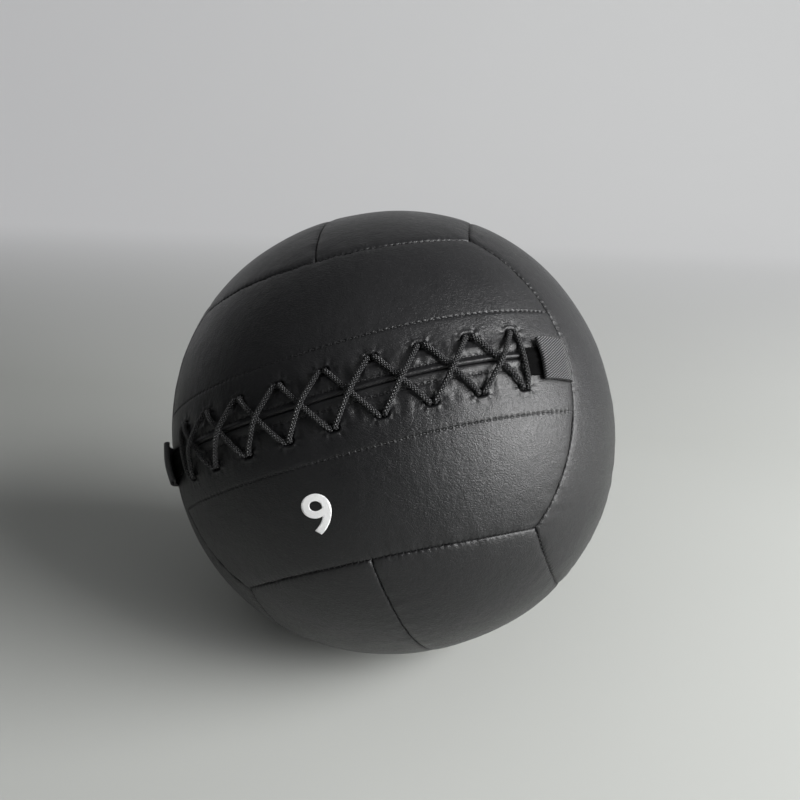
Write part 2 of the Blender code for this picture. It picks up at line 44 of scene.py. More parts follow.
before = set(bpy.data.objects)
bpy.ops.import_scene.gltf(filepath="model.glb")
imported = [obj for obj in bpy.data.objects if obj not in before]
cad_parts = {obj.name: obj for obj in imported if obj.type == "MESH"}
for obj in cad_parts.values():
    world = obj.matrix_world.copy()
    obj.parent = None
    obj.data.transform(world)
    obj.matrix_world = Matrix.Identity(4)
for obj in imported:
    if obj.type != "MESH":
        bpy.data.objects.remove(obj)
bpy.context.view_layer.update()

# The ball, as its CAD source has it
FACE_RADIUS = 0.173
CORNER_PUFF = 0.0035
END_SEAM_BOW = 0.008
BOW_REACH_SHARE = 0.3
SLIT_OFFSET = 0.0009
SLIT_DRIFT = 0.0035
SLIT_DRIFT_MIDDLE = 0.036
SLIT_DRIFT_REACH = 0.06
PRESS_DEPTH = 0.0025
LEAN = math.radians(-27.3)
ROLL = math.radians(-18.8)
SEAM_SHARE = 1 / math.sqrt(3)
CORNER_SCORE = 2 / 3
TOUCH_GAP = 0.0003
FACET_GAP = 0.0009
SEAM_TURN = 0.006
HEM_TURN = 0.004
UPPER_LIP_RISE = 0.0018
HOLE_ROW = 0.0182
STITCH_ROWS = {1: 0.034, -1: 0.0356}
FACING_DEPTH = 0.0026
FACING = 0.0012
FACING_START = 0.0035
FACING_END = 0.038
LACE_RADIUS = 0.0017
LACE_GAP = 0.0007
STRAND_GAP = 0.0002
LACE_PAIRS = 9
LACE_END_MARGIN = 0.0455
KNOT_GROWTH = 1.7
LACE_TAIL = 0.012
TAPE_WIDTH = 0.0185
TAPE = 0.001
WEBBING_WIDTH = 0.027
WEBBING = 0.0015
LOOP_GAP = 0.0028
BAG = 0.0008
BAG_MOUTH_LENGTH = 0.15
BAG_MOUTH_WIDTH = 0.012
SACK_RADIUS = 0.06
SACK = 0.001
SACK_NECK_RADIUS = 0.011
SACK_NECK_LENGTH = 0.022
SACK_TOP = math.sqrt(SACK_RADIUS**2 - SACK_NECK_RADIUS**2) + SACK_NECK_LENGTH
TIE_DIAMETER = 0.004

HOLE_RADIUS = LACE_RADIUS + LACE_GAP
HALF_PAIR = LACE_RADIUS + STRAND_GAP / 2
WALL_STACK = FACING_DEPTH + FACING
INNER_BAR_DEPTH = HEM_TURN + TOUCH_GAP + LACE_RADIUS
DEEP_BAR_DEPTH = INNER_BAR_DEPTH + 2 * LACE_RADIUS + LACE_GAP
BAG_DEPTH = SEAM_TURN + FACET_GAP
BAG_DENT_DEPTH = DEEP_BAR_DEPTH + LACE_RADIUS + FACET_GAP
FACE_WIDTH_ANGLE = math.asin(SEAM_SHARE)
FACE_SIDE = FACE_WIDTH_ANGLE * FACE_RADIUS
SEAM_CIRCLE_SHARE = math.sqrt(1 - SEAM_SHARE**2)
SEAM_CIRCLE = SEAM_CIRCLE_SHARE * FACE_RADIUS

# Each face of the ball: the ways out of it, along its panels and across them, and its halves' names
X, Y, Z = np.eye(3)
FACES = {
    "front": (-Y, X, Z, ("lower", "upper")),
    "back": (Y, X, Z, ("lower", "upper")),
    "right": (X, Z, Y, ("front", "rear")),
    "left": (-X, Z, Y, ("front", "rear")),
    "top": (Z, Y, X, ("left", "right")),
    "bottom": (-Z, Y, X, ("left", "right")),
}
ATTITUDE = np.array(Matrix.Rotation(LEAN, 3, "X") @ Matrix.Rotation(ROLL, 3, "Y"))
UP = ATTITUDE.T @ Z

# How the leather gives at its sewing
SEAM_ROLL = 0.0011
VALLEY_DEPTH = 0.0007
VALLEY_REACH = 0.0026
PINCH_REACH = 0.0014
PUCKER_LENGTH = 0.0085
PUCKER_REACH = 0.009
PUCKER_STRETCH = 4
LUMP_SIZE = 0.045
LEATHER_WALL = 0.0012
LEATHER_HOLE = 0.0019

# The relief beside the slit, above it (1) and below it (-1). A ridge is given by its
# height, how far out its middle lies, and its width, and the funnel by its depth and its reach
LIPS = {1: (0.0015, 0.0019, 0.0017), -1: (0.0007, 0.0024, 0.0022)}
BULGES = {1: (1.0, 0.0098, 0.0032), -1: (0.6, 0.0108, 0.003)}
HEM_ROWS = {1: 0.0052, -1: 0.0063}
HEM_WIDTH = 0.0008
TOPSTITCH_WIDTH = 0.0006
STITCH_SINK = 0.001
STITCH_SWELL = 0.0002
LACED_PAST_HOLES = 0.005
LACED_FADE = 0.012
SLIT_FADE = 0.004
FUNNEL = (0.0013, 0.0011)
DISH = (0.0007, 0.0, 0.009)
HOLE_RIM = (0.0008, 0.0017, 0.001)
HOLE_RAYS = (0.0003, 0.0028, 0.0026)
RAYS_ROUND_HOLE = 7
CREASE_DEPTH = 0.0008
CREASE_LENGTH = 0.0042
CREASE_STRETCH = 3.5
CREASE_STARTS = (0.005, 0.003)
CREASE_ENDS = (0.013, 0.014)
CREASED_ROWS = 0.034
BAND_RISE = 0.0004
BAND_FADE = 0.003

# The meshes' steps, finer beside the seams, along the slit and in the rows beside its topstitch
SEAM_STEPS = np.array([0, 0.15, 0.4, 0.75, 1.2, 1.9, 2.9, 4.3, 6.2]) / 1000
SLIT_ROWS = [(0.001, 0.00025), (0.0072, 0.0005), (0.0135, 0.0008), (0.0232, 0.0007)]
SEWN_ROWS = (-0.0015, 0.0016)
LIP_STEP = 0.0015
STITCH_STEP = 0.00042
FRONT_STEP = 0.00085
PLAIN_STEP = 0.0016
ROW_STEP = 0.00106
FACING_STEPS = (0.0011, 0.001)
TAPE_STEPS = (0.0007, 0.0005)
WEBBING_STEPS = (0.00045, 0.0005)
LACE_STEP = 0.00042

# Thread and lace
STITCH_LENGTH = 0.0027
SEAM_STITCH = 0.0018
SEAM_THREAD_SHARE = 0.6
SEAM_MARGIN = 0.003
BESIDE_SEAM = 0.002
LACE_STRANDS = 4
CREST_SHARES = (0.38, 0.62)
BRAID_RISE = 0.00032
LACE_SETTLE = 0.0004
BAR_SINK = 0.0006
LACE_TENT = [(0.25, 0.52), (0.45, 0.97), (0.55, 0.97), (0.75, 0.52)]
LIP_TOP = 0.0016

# The slit's two ends, as the photo shows them
ENDS = {"right": 1, "left": -1}
LOOP_REACHES = {"right": 0.031, "left": 0.022}
LOOP_LIFTS = {"right": 0.0, "left": 0.0028}
LOOP_SLANT = 0.0022
LOOP_SINK = 0.001
LOOP_CROWN = (0.35, 0.0, 0.01)
LOOP_SEAT_START = 0.002
LOOP_SEAT_REACH = 0.014
LOOP_SEWN_DEPTH = 0.0068
LOOP_SEWN_REACH = 0.0028
TWILL_SLANT = 0.62
RIB_RISE = 0.00006
TAPE_SINK = 0.0024
TAPE_HEIGHT = 0.0009
TAPE_CROWN = (0.0009, 0.0, 0.005)
TAPE_CRINKLE = 0.007
TAPE_WANDER = 0.0006
TAPE_DRAW = 0.0022
TAPE_DRAW_REACH = 0.003
TAPE_EDGE = 0.0006
STRIP_WALL = 0.0008

# The inner pieces' creases, lumps and pleats
BAG_CREASE = 0.0011
BAG_FOLDS = [(0.02, 31.0), (0.009, 37.0)]
FILLING_LUMP = 0.0016
GATHER_START = 0.038
GATHER_LENGTH = 0.02
SACK_PLEATS = 17
PLEAT_DEPTH = 0.0014
SACK_CREASE = 0.0005
GRIT_SLACK = 0.002
GRAIN_SHARE = 0.008
TIE_END_LIFT = 0.0004
TIE_KNOT_OUT = 0.0008
TIE_KNOT = (0.0019, 0.0021, 0.0016)
TIE_STEPS = (0.0006, 0.0004)

# The printed numeral, the stage and the camera
MARK_AZIMUTH = -8.25
MARK_ELEVATION = -22.4
MARK_STROKE = 0.017
MARK_LIFT = 0.00022
MARK_WALL = 0.0003
MARK_STEP = 0.0013

FLOOR_REACH = 12.0
FLOOR_DROP = 0.0002
BACKDROP_START = 1.9
BACKDROP_CURVE = 1.2
BACKDROP_TOP = 5.0
CAMERA_PLACE = (0.1728, -0.6103, 0.4185)
CAMERA_TURN = (math.radians(70.97), 0.0, math.radians(15.43))


def unit(vectors):
    """The vectors, each brought to a length of 1."""
    return vectors / np.linalg.norm(vectors, axis=-1, keepdims=True)


def turned(angle, start, end):
    """Directions at these angles from the first axis, towards the second."""
    return np.cos(angle)[..., None] * start + np.sin(angle)[..., None] * end


def eased(value):
    """A smooth step from 0 to 1."""
    held = np.clip(value, 0.0, 1.0)
    return held * held * (3 - 2 * held)


def ridge(value, height, middle, width):
    """This height at the middle, falling off smoothly on both sides."""
    return height * np.exp(-(((value - middle) / width) ** 2))


def lengths_along(points):
    """The length along a polyline at which each of its points lies."""
    return np.concatenate([[0], np.cumsum(np.linalg.norm(np.diff(points, axis=0), axis=1))])


def skin_radius(direction):
    """The CAD's outer surface: a sphere that swells towards the cube's corners."""
    cubic = 1 - (direction**4).sum(axis=-1)
    return FACE_RADIUS + CORNER_PUFF * cubic / CORNER_SCORE


def over_skin(direction, height):
    """Points this high over the outer surface, or this deep under it where the height is negative."""
    return direction * (skin_radius(direction) + height)[..., None]


REST_HEIGHT = float(skin_radius(-UP)) - PRESS_DEPTH


def stood(points):
    """Carries points from the upright ball to where it rests on the floor."""
    return points @ ATTITUDE.T + Z * REST_HEIGHT


def pressed(points, level):
    """Lifts what lies under the given height above the floor to that height."""
    height = points @ UP + REST_HEIGHT
    return points + np.outer(np.maximum(0.0, level - height), UP)


def slit_run(direction):
    """The length along the slit, from its middle, at which a direction lies."""
    return FACE_RADIUS * np.arctan2(direction[..., 0], -direction[..., 1])


def slit_rise(direction):
    """How far above the middle of its face the slit lies there."""
    drift = np.tanh((slit_run(direction) - SLIT_DRIFT_MIDDLE) / SLIT_DRIFT_REACH)
    return SLIT_OFFSET + SLIT_DRIFT * drift


def across_face(direction):
    """1 in the middle of the front face's width and 0 at its long seams."""
    return np.maximum(0.0, 1 - (direction[..., 2] / SEAM_SHARE) ** 2)


def front_drift(direction):
    """How far the front face's directions go up with the slit, as a share of the radius."""
    share = across_face(direction) * eased(-direction[..., 1] / SEAM_SHARE)
    return slit_rise(direction) / FACE_RADIUS * share


def drifted(direction):
    """Carries the directions near the slit with it, up or down."""
    return unit(direction + front_drift(direction)[..., None] * Z)


def bowed(direction):
    """Moves the directions near the front face's end seams, so that these seams bow outwards."""
    near = np.exp(-(((direction[..., 1] + SEAM_SHARE) / BOW_REACH_SHARE) ** 2))
    bow = END_SEAM_BOW / FACE_RADIUS * across_face(direction) * near
    return unit(direction + bow[..., None] * Y)


def front_direction(along, across):
    """The direction on the front face at these two lengths from its slit's middle."""
    level = turned(np.asarray(along) / FACE_RADIUS, -Y, X)
    return drifted(turned(np.asarray(across) / FACE_RADIUS, level, Z))


def front_place(direction):
    """The lengths along and across the slit at which a direction on the front face lies."""
    return slit_run(direction), FACE_RADIUS * np.arcsin(direction[..., 2] - front_drift(direction))


def half_length(across):
    """Half of a panel's length at this distance from its face's middle, and the angle that it spans."""
    cross = across / FACE_RADIUS
    turn = np.arccos(np.clip(SEAM_SHARE / np.cos(cross), -1, 1))
    return turn * np.cos(cross) * FACE_RADIUS, turn


# Lengths along the slit from its middle: to an end seam, and to the last lace hole
SLIT_END = float(slit_run(bowed(SEAM_CIRCLE_SHARE * X - SEAM_SHARE * Y)))
HOLE_REACH = SLIT_END - LACE_END_MARGIN
HOLE_PITCH = 2 * HOLE_REACH / (LACE_PAIRS - 1)


def seeded(points, size, seed):
    """Smooth noise from -1 to 1 at each point, with features of this size."""
    places = points / size + np.array([seed, seed * 0.7, seed * 1.3])
    return np.array([noise.noise(Vector(place)) for place in places])


def crinkles(along, across, size, seed, level=0.0, where=slice(None)):
    """Smooth noise over a flat cloth, and 0 outside the given part of it."""
    flat = np.stack([along, across, np.full(len(along), level)], axis=1)
    found = np.zeros(len(along))
    found[where] = seeded(flat[where], size, seed)
    return found


def stitch_beat(run, looks):
    """1 in the middle of each stitch and 0 between two."""
    return 0.5 + 0.5 * np.cos(2 * math.pi * run / looks.stitch_pitch)


def rounded(distance, radius):
    """How far an edge with this rounding lies under the surface."""
    short = radius - np.minimum(np.maximum(distance, 0), radius)
    return radius - np.sqrt(np.maximum(radius**2 - short**2, 0))


def seam_pull(distance, run, looks, seed):
    """How far a seam pulls the leather in: a tight roll, a valley, a pinch at each stitch, and puckers."""
    near = np.maximum(distance, 0)
    valley = VALLEY_DEPTH * np.exp(-near / VALLEY_REACH)
    pinch = looks.pinch_depth * stitch_beat(run, looks) * np.exp(-near / PINCH_REACH)
    folds = crinkles(run, near / PUCKER_STRETCH, PUCKER_LENGTH, seed, where=near < 4 * PUCKER_REACH)
    puckers = looks.pucker_depth * folds * np.exp(-near / PUCKER_REACH)
    return rounded(near, SEAM_ROLL) + valley + pinch + puckers


def nearest_hole(along):
    """The number of the lace hole abreast of this length along the slit, and how far past it that is."""
    number = np.clip(np.rint((HOLE_REACH - along) / HOLE_PITCH), 0, LACE_PAIRS - 1)
    return number, along - (HOLE_REACH - number * HOLE_PITCH)


def hole_distance(along, across):
    """The distance to the nearest hole's middle line, and the angle round the hole."""
    beside = nearest_hole(along)[1]
    past = np.sign(beside) * np.maximum(np.abs(beside) - HALF_PAIR, 0)
    return np.hypot(past, across - HOLE_ROW), np.arctan2(across - HOLE_ROW, past)


def slit_relief(side, along, across, looks):
    """The relief that the slit's lip, hem, lace holes and topstitch give the leather beside it."""
    number, beside = nearest_hole(along)
    laced = 1 - eased((np.abs(along) - HOLE_REACH - LACED_PAST_HOLES) / LACED_FADE)
    bulge = (0.3 + 0.9 * np.cos(math.pi * np.clip(beside / HOLE_PITCH, -0.5, 0.5)) ** 2) * laced
    stitched_in = STITCH_SINK * eased(stitch_beat(along, looks) * 2) - STITCH_SWELL
    lip = ridge(across, *LIPS[side]) * (0.4 + 0.6 * laced)
    hem = stitched_in * ridge(across, 1.0, HEM_ROWS[side], HEM_WIDTH)
    swell = looks.lace_bulge * bulge * ridge(across, *BULGES[side])
    topstitch = 1.2 * stitched_in * ridge(across, 1.0, STITCH_ROWS[side], TOPSTITCH_WIDTH)
    band = BAND_RISE * (1 - eased((across - STITCH_ROWS[side]) / BAND_FADE + 0.5))
    rows = across < CREASED_ROWS
    folds = crinkles(along, across / CREASE_STRETCH, CREASE_LENGTH, 11.0, 5.0 * side, rows)
    (start, rise), (end, fall) = CREASE_STARTS, CREASE_ENDS
    creased = eased((across - start) / rise) * (1 - eased((across - end) / fall)) * laced
    away, angle = hole_distance(along, across)
    outside = away - LEATHER_HOLE
    funnel = FUNNEL[0] * np.exp(-np.maximum(outside, -0.001) / FUNNEL[1]) + ridge(away, *DISH)
    rim = ridge(outside, *HOLE_RIM) * (0.65 + 0.35 * np.sin(angle))
    rays = ridge(outside, *HOLE_RAYS) * np.cos(RAYS_ROUND_HOLE * angle + number * 2.4 + side)
    return lip - hem + swell + CREASE_DEPTH * folds * creased + band - topstitch + rim - funnel + rays


class Panel:
    """One leather panel. A place on it is a length across, from its face's middle, and a share along."""

    def __init__(self, face, side):
        self.face, self.side = face, side
        self.normal, self.lengthwise, self.sideways, halves = FACES[face]
        self.half = halves[int(side > 0)]
        self.seed = 3.1 * list(FACES).index(face) + 1.7 * side

    def direction(self, across, along, gap=TOUCH_GAP / 2):
        """The direction of a place, clear of the end seams by this gap."""
        cross = across / FACE_RADIUS
        turn = along * (half_length(across)[1] - gap / (FACE_RADIUS * np.cos(cross)))
        level = turned(turn, self.normal, self.lengthwise)
        return drifted(bowed(turned(cross, level, self.side * self.sideways)))

    def lumps(self, direction, looks):
        """The height of the filling's lumps under the leather."""
        return looks.lump_depth * seeded(direction * FACE_RADIUS, LUMP_SIZE, 4.0)

    def relief(self, across, along, direction, looks):
        """The height of the leather's relief over the CAD's outer surface."""
        half = half_length(across)[0]
        ends = (1 - np.abs(along)) * half
        end_run = SEAM_CIRCLE * np.arcsin(np.clip(np.sin(across / FACE_RADIUS) / SEAM_CIRCLE_SHARE, -1, 1))
        height = self.lumps(direction, looks)
        height -= seam_pull(FACE_SIDE - across, along * half, looks, self.seed)
        height -= seam_pull(ends, end_run, looks, self.seed + 5)
        if self.face != "front":
            return height - seam_pull(across, along * half, looks, self.seed + 9)
        run, beside = front_place(direction)
        slit = slit_relief(self.side, run, np.abs(beside), looks)
        return height + slit * eased(ends / SLIT_FADE) - rounded(across, SEAM_ROLL)

    def surface(self, across, along, looks):
        """Points on the leather's outer face, on the upright ball."""
        direction = self.direction(across, along)
        return pressed(over_skin(direction, self.relief(across, along, direction, looks)), 0.0)

    def beside_slit(self, along, across, looks, lift=0.0):
        """Points at lengths along and across the slit, this much higher, without the seams' pull."""
        direction = front_direction(along, self.side * across)
        height = self.lumps(direction, looks) + slit_relief(self.side, along, across, looks)
        return over_skin(direction, height + lift - rounded(across, SEAM_ROLL))


PANELS = [Panel(face, side) for face in FACES for side in (-1, 1)]


def paced(*parts):
    """Places from 0 on, through each part's end in about equal steps of its length."""
    places = [0.0]
    for end, step in parts:
        start = places[-1]
        count = max(1, round((end - start) / step))
        places += [start + (end - start) * (number + 1) / count for number in range(count)]
    return np.array(places)


def between_seams(length, step):
    """Places from 0 to a length, closer together at both ends."""
    first = SEAM_STEPS[-1]
    middle = paced((length - 2 * first, step)) + first
    return np.concatenate([SEAM_STEPS[:-1], middle, length - SEAM_STEPS[-2::-1]])


def grid(lengths, widths):
    """A grid with a column at each length and a row at each width, which its UV map holds.

    Also gives the column and the row number of each of its vertices.
    """
    bm = bmesh.new()
    bm.loops.layers.uv.new("Sewing")
    last = len(lengths) - 1, len(widths) - 1
    bmesh.ops.create_grid(bm, x_segments=last[0], y_segments=last[1], size=1.0, calc_uvs=True)
    lengths, widths = np.asarray(lengths).tolist(), np.asarray(widths).tolist()
    uv = bm.loops.layers.uv["Sewing"]
    for face in bm.faces:
        for loop in face.loops:
            at = loop[uv].uv
            loop[uv].uv = lengths[round(at.x * last[0])], widths[round(at.y * last[1])]
    flat = (np.array([vert.co.xy for vert in bm.verts]) + 1) / 2
    numbers = np.rint(flat * last).astype(int)
    return bm, numbers[:, 0], numbers[:, 1]


def place(bm, points):
    """Moves a mesh's vertices to these points, in order."""
    for vert, point in zip(bm.verts, points):
        vert.co = point


def places_of(bm):
    return np.array([vert.co[:] for vert in bm.verts])


def face_outwards(bm):
    """Turns an open surface's faces away from the ball's centre."""
    bmesh.ops.recalc_face_normals(bm, faces=bm.faces)
    bm.faces.ensure_lookup_table()
    sample = bm.faces[len(bm.faces) // 2]
    if sample.normal.dot(sample.calc_center_median()) < 0:
        bmesh.ops.reverse_faces(bm, faces=bm.faces)


def finished_piece(name, bm, finish, nodes=(), wall=0.0, offset=-1.0):
    """Sets a mesh down as a piece of the resting ball, which stands for these CAD nodes."""
    mesh = bpy.data.meshes.new(name)
    bm.to_mesh(mesh)
    bm.free()
    flat = np.empty(3 * len(mesh.vertices), np.float32)
    mesh.vertices.foreach_get("co", flat)
    mesh.vertices.foreach_set("co", stood(flat.reshape(-1, 3)).astype(np.float32).ravel())
    mesh.materials.append(finish)
    mesh.shade_smooth()
    made = bpy.data.objects.new(name, mesh)
    bpy.context.scene.collection.objects.link(made)
    if wall:
        solid = made.modifiers.new("Wall", "SOLIDIFY")
        solid.thickness = wall
        solid.offset = offset
    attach(made, "root")
    if nodes:
        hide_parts(*nodes)
    return made


def flowing(points, step):
    """A smooth route through the points, with a place about every step."""
    points = np.asarray(points)
    gaps = np.linalg.norm(np.diff(points, axis=0), axis=1)[:, None]
    slopes = np.diff(points, axis=0) / gaps
    inner = (slopes[:-1] * gaps[1:] + slopes[1:] * gaps[:-1]) / (gaps[1:] + gaps[:-1])
    bends = np.vstack([slopes[:1], inner, slopes[-1:]])
    share = np.linspace(0, 1, 12, endpoint=False)[:, None]
    runs = []
    for start, end, leave, arrive, gap in zip(points, points[1:], bends, bends[1:], gaps):
        straight = start + (end - start) * share**2 * (3 - 2 * share)
        bent = leave * (share**3 - 2 * share**2 + share) + arrive * (share**3 - share**2)
        runs.append(straight + bent * gap)
    dense = np.vstack([*runs, points[-1:]])
    lengths = lengths_along(dense)
    at = paced((lengths[-1], step))
    return np.stack([np.interp(at, lengths, dense[:, axis]) for axis in range(3)], axis=1), at


def tube(route, lengths, radius, sides, relief=None):
    """A closed tube round a route, of one radius or one for each place on it.

    The relief gives its extra radius, from the length along it and the share round it.
    """
    radii = np.broadcast_to(radius, len(route))
    ahead = unit(np.gradient(route, axis=0))
    beside = np.empty_like(route)
    last = unit(np.cross(ahead[0], X + 0.3 * Z))
    for number, way in enumerate(ahead):
        last = unit(last - way * (last @ way))
        beside[number] = last
    above = np.cross(ahead, beside)
    bm, ring, side = grid(lengths, 2 * math.pi * radii[0] * np.arange(sides + 1) / sides)
    reach = radii[ring] + (relief(lengths[ring], side / sides) if relief else 0.0)
    spoke = turned(2 * math.pi * side / sides, beside[ring], above[ring])
    place(bm, route[ring] + reach[:, None] * spoke)
    bmesh.ops.remove_doubles(bm, verts=bm.verts, dist=1e-6)
    bmesh.ops.holes_fill(bm, edges=[edge for edge in bm.edges if edge.is_boundary])
    bmesh.ops.recalc_face_normals(bm, faces=bm.faces)
    return bm


def stitched(starts, ends, ups, thickness):
    """One slim bead of thread from each start to its end."""
    bm = bmesh.new()
    bmesh.ops.create_uvsphere(bm, u_segments=6, v_segments=4, radius=1.0)
    bead = bpy.data.meshes.new("Bead")
    bm.to_mesh(bead)
    bm.clear()
    for start, end, up in zip(starts, ends, ups):
        along = Vector(end - start)
        length = along.length
        along.normalize()
        side = Vector(up).cross(along).normalized()
        rise = along.cross(side)
        scaled = side * thickness / 2, rise * thickness / 2, along * length / 2
        axes = Matrix(scaled).transposed().to_4x4()
        axes.translation = Vector((start + end) / 2)
        bead.transform(axes)
        bm.from_mesh(bead)
        bead.transform(axes.inverted())
    bpy.data.meshes.remove(bead)
    return bm


class Signal:
    """A shader socket that takes part in Python sums."""

    def __init__(self, finish, socket):
        self.finish, self.socket = finish, socket

    def maths(self, operation, *values):
        return self.finish.node("Math", {"operation": operation}, dict(enumerate(values)))

    def __add__(self, other):
        return self.maths("ADD", self, other)

    def __sub__(self, other):
        return self.maths("SUBTRACT", self, other)

    def __rsub__(self, other):
        return self.maths("SUBTRACT", other, self)

    def __mul__(self, other):
        return self.maths("MULTIPLY", self, other)

    def __truediv__(self, other):
        return self.maths("DIVIDE", self, other)

    def __pow__(self, power):
        return self.maths("POWER", self, power)

    def __abs__(self):
        return self.maths("ABSOLUTE", self)

    __radd__ = __add__
    __rmul__ = __mul__

    def sine(self):
        return self.maths("SINE", self)

    def wave(self):
        """From 0 to 1 and back for each whole number."""
        return (self * (2 * math.pi)).sine() * 0.5 + 0.5

    def above_zero(self):
        """1 above zero and 0 below it."""
        return self.maths("SIGN", self) * 0.5 + 0.5

    def held(self):
        """Kept from 0 to 1."""
        return self.maths("MINIMUM", self.maths("MAXIMUM", self, 0.0), 1.0)


class Finish:
    """A material's nodes. Its constant values stand on the shader's own sockets."""

    def __init__(self, name, **constants):
        self.material = bpy.data.materials.new(name)
        self.material.use_nodes = True
        self.tree = self.material.node_tree
        self.shader = self.tree.nodes["Principled BSDF"]
        for socket, value in constants.items():
            self.shader.inputs[socket.replace("_", " ")].default_value = value

    def node(self, kind, settings=None, values=None, output=0):
        """Adds a node, and gives one of its outputs."""
        made = self.tree.nodes.new(f"ShaderNode{kind}")
        for name, value in (settings or {}).items():
            setattr(made, name, value)
        for socket, value in (values or {}).items():
            self.feed(made.inputs[socket], value)
        return Signal(self, made.outputs[output])

    def feed(self, socket, value):
        """Links a signal to a socket, or gives the socket a plain value."""
        if isinstance(value, Signal):
            self.tree.links.new(value.socket, socket)
        else:
            socket.default_value = value

    def show(self, **values):
        for socket, value in values.items():
            self.feed(self.shader.inputs[socket.replace("_", " ")], value)
        return self.material

    def place(self):
        return self.node("TexCoord", output="Object")

    def sewing(self):
        """The lengths along and across a piece, from its own UV map."""
        split = self.node("SeparateXYZ", values={0: self.node("UVMap", {"uv_map": "Sewing"})}).socket.node
        return Signal(self, split.outputs[0]), Signal(self, split.outputs[1])

    def noise(self, size, detail=2.0, output=0):
        values = {"Vector": self.place(), "Scale": 1 / size, "Detail": detail}
        return self.node("TexNoise", values=values, output=output)

    def cells(self, size, feature="F1", where=None):
        values = {"Vector": where or self.place(), "Scale": 1 / size}
        return self.node("TexVoronoi", {"feature": feature}, values, "Distance")

    def stirred(self, size, reach):
        """Object coordinates, moved about a little, so that cells lose their straight edges."""
        spread = self.noise(size, output=1)
        centred = self.node("VectorMath", {"operation": "SUBTRACT"}, {0: spread, 1: (0.5, 0.5, 0.5)})
        scaled = self.node("VectorMath", {"operation": "SCALE"}, {0: centred, "Scale": reach})
        return self.node("VectorMath", {"operation": "ADD"}, {0: self.place(), 1: scaled})

    def blend(self, low, high, share):
        """From the low colour to the high one; either may be a signal."""
        low, high = (end if isinstance(end, Signal) else (*end, 1) for end in (low, high))
        return self.node("Mix", {"data_type": "RGBA"}, {0: share, 6: low, 7: high}, 2)

    def bump(self, height, depth, under=None):
        """A relief of this depth, over another one if it is given."""
        values = {"Height": height, "Distance": depth, "Strength": 1.0}
        if under:
            values["Normal"] = under
        return self.node("Bump", values=values)


def leather_finish(name, looks):
    """Black leatherette: fine pebbles, faint creases and a soft gloss that varies."""
    skin = Finish(name, Specular_IOR_Level=0.4)
    stirred = skin.stirred(0.003, 0.0014)
    stretched = skin.node("Mapping", {}, {"Vector": stirred, "Scale": (0.45, 1.0, 1.0)})
    pebbles = (skin.cells(looks.grain_size, "DISTANCE_TO_EDGE", stirred) * 3.0).held()
    wrinkles = (skin.cells(1.7 * looks.grain_size, "DISTANCE_TO_EDGE", stretched) * 3.5).held()
    tone = skin.noise(0.024, 4.0)
    worn = skin.noise(0.0035, 3.0)
    colour = tuple(looks.leather_colour)
    pale = tuple(1.8 * part + 0.001 for part in colour)
    creased = skin.bump(skin.noise(0.0065, 1.0) + wrinkles * 0.25, 0.00032)
    grained = skin.bump(pebbles**0.7 + skin.noise(0.0005) * 0.3, 0.00008, creased)
    gloss = tone * 0.14 + worn * 0.1 + (1 - pebbles) * 0.14 + (looks.leather_roughness - 0.16)
    dusted = skin.blend(colour, pale, (tone * worn * 2).held() * pebbles)
    return skin.show(Base_Color=dusted, Roughness=gloss, Normal=grained)


def thread_finish(name):
    """Black sewing thread, twisted and a little dusty."""
    thread = Finish(name)
    fluff = thread.noise(0.0003, 3.0)
    colour = thread.blend((0.004, 0.004, 0.0042), (0.03, 0.03, 0.031), fluff)
    twist = thread.bump(fluff, 0.0001)
    return thread.show(Base_Color=colour, Roughness=thread.noise(0.004) * 0.2 + 0.36, Normal=twist)


def braid_finish(name, looks):
    """A round braid: short slanted strands, over and under each other, with painted shade in the valleys
    between them.
    """
    braid = Finish(name)
    length, around = braid.sewing()
    pitch = looks.braid_pitch
    strands = around * (LACE_STRANDS / (2 * math.pi * LACE_RADIUS))
    rising = ((length / pitch + strands) * math.pi).sine()
    falling = ((length / pitch - strands) * math.pi).sine()
    above = (rising * falling).above_zero()
    wide, narrow = abs(rising), abs(falling)
    height = above * wide * narrow**0.35 + (1 - above) * narrow * wide**0.35
    fibres = braid.noise(0.0003, 2.0)
    # Painted shade: the colour falls to a fiftieth of the lace's colour in the valleys between the strands
    dark, light = tuple(0.02 * part for part in looks.lace_colour), tuple(looks.lace_colour)
    colour = braid.blend(dark, light, ((height * 1.7 - 0.5) * (0.6 + fibres * 0.8)).held())
    woven = braid.bump(height + fibres * 0.12, 0.0009)
    return braid.show(Base_Color=colour, Roughness=0.52 - height * 0.22, Normal=woven)


def webbing_finish(name, looks):
    """Webbing with slanted twill ribs, each broken into beads by the weft, with painted shade in the
    grooves and painted highlights on the ribs.
    """
    webbing = Finish(name)
    length, across = webbing.sewing()
    ribs = ((across + length * TWILL_SLANT) / looks.rib_pitch).wave()
    beads = (across / 0.0011).wave()
    fibres = webbing.noise(0.0003, 2.0)
    height = ribs * (0.55 + beads * 0.45)
    # Painted shade and painted highlight: from a hundredth of the webbing's colour in the grooves to 1.4
    # times it on the ribs' crests
    dark, light = (tuple(share * part for part in looks.webbing_colour) for share in (0.01, 1.4))
    colour = webbing.blend(dark, light, ((height * 2.4 - 0.8) * (0.6 + fibres)).held())
    twill = webbing.bump(height + fibres * 0.12, 0.0011)
    return webbing.show(Base_Color=colour, Roughness=0.58 - ribs * 0.14, Normal=twill)


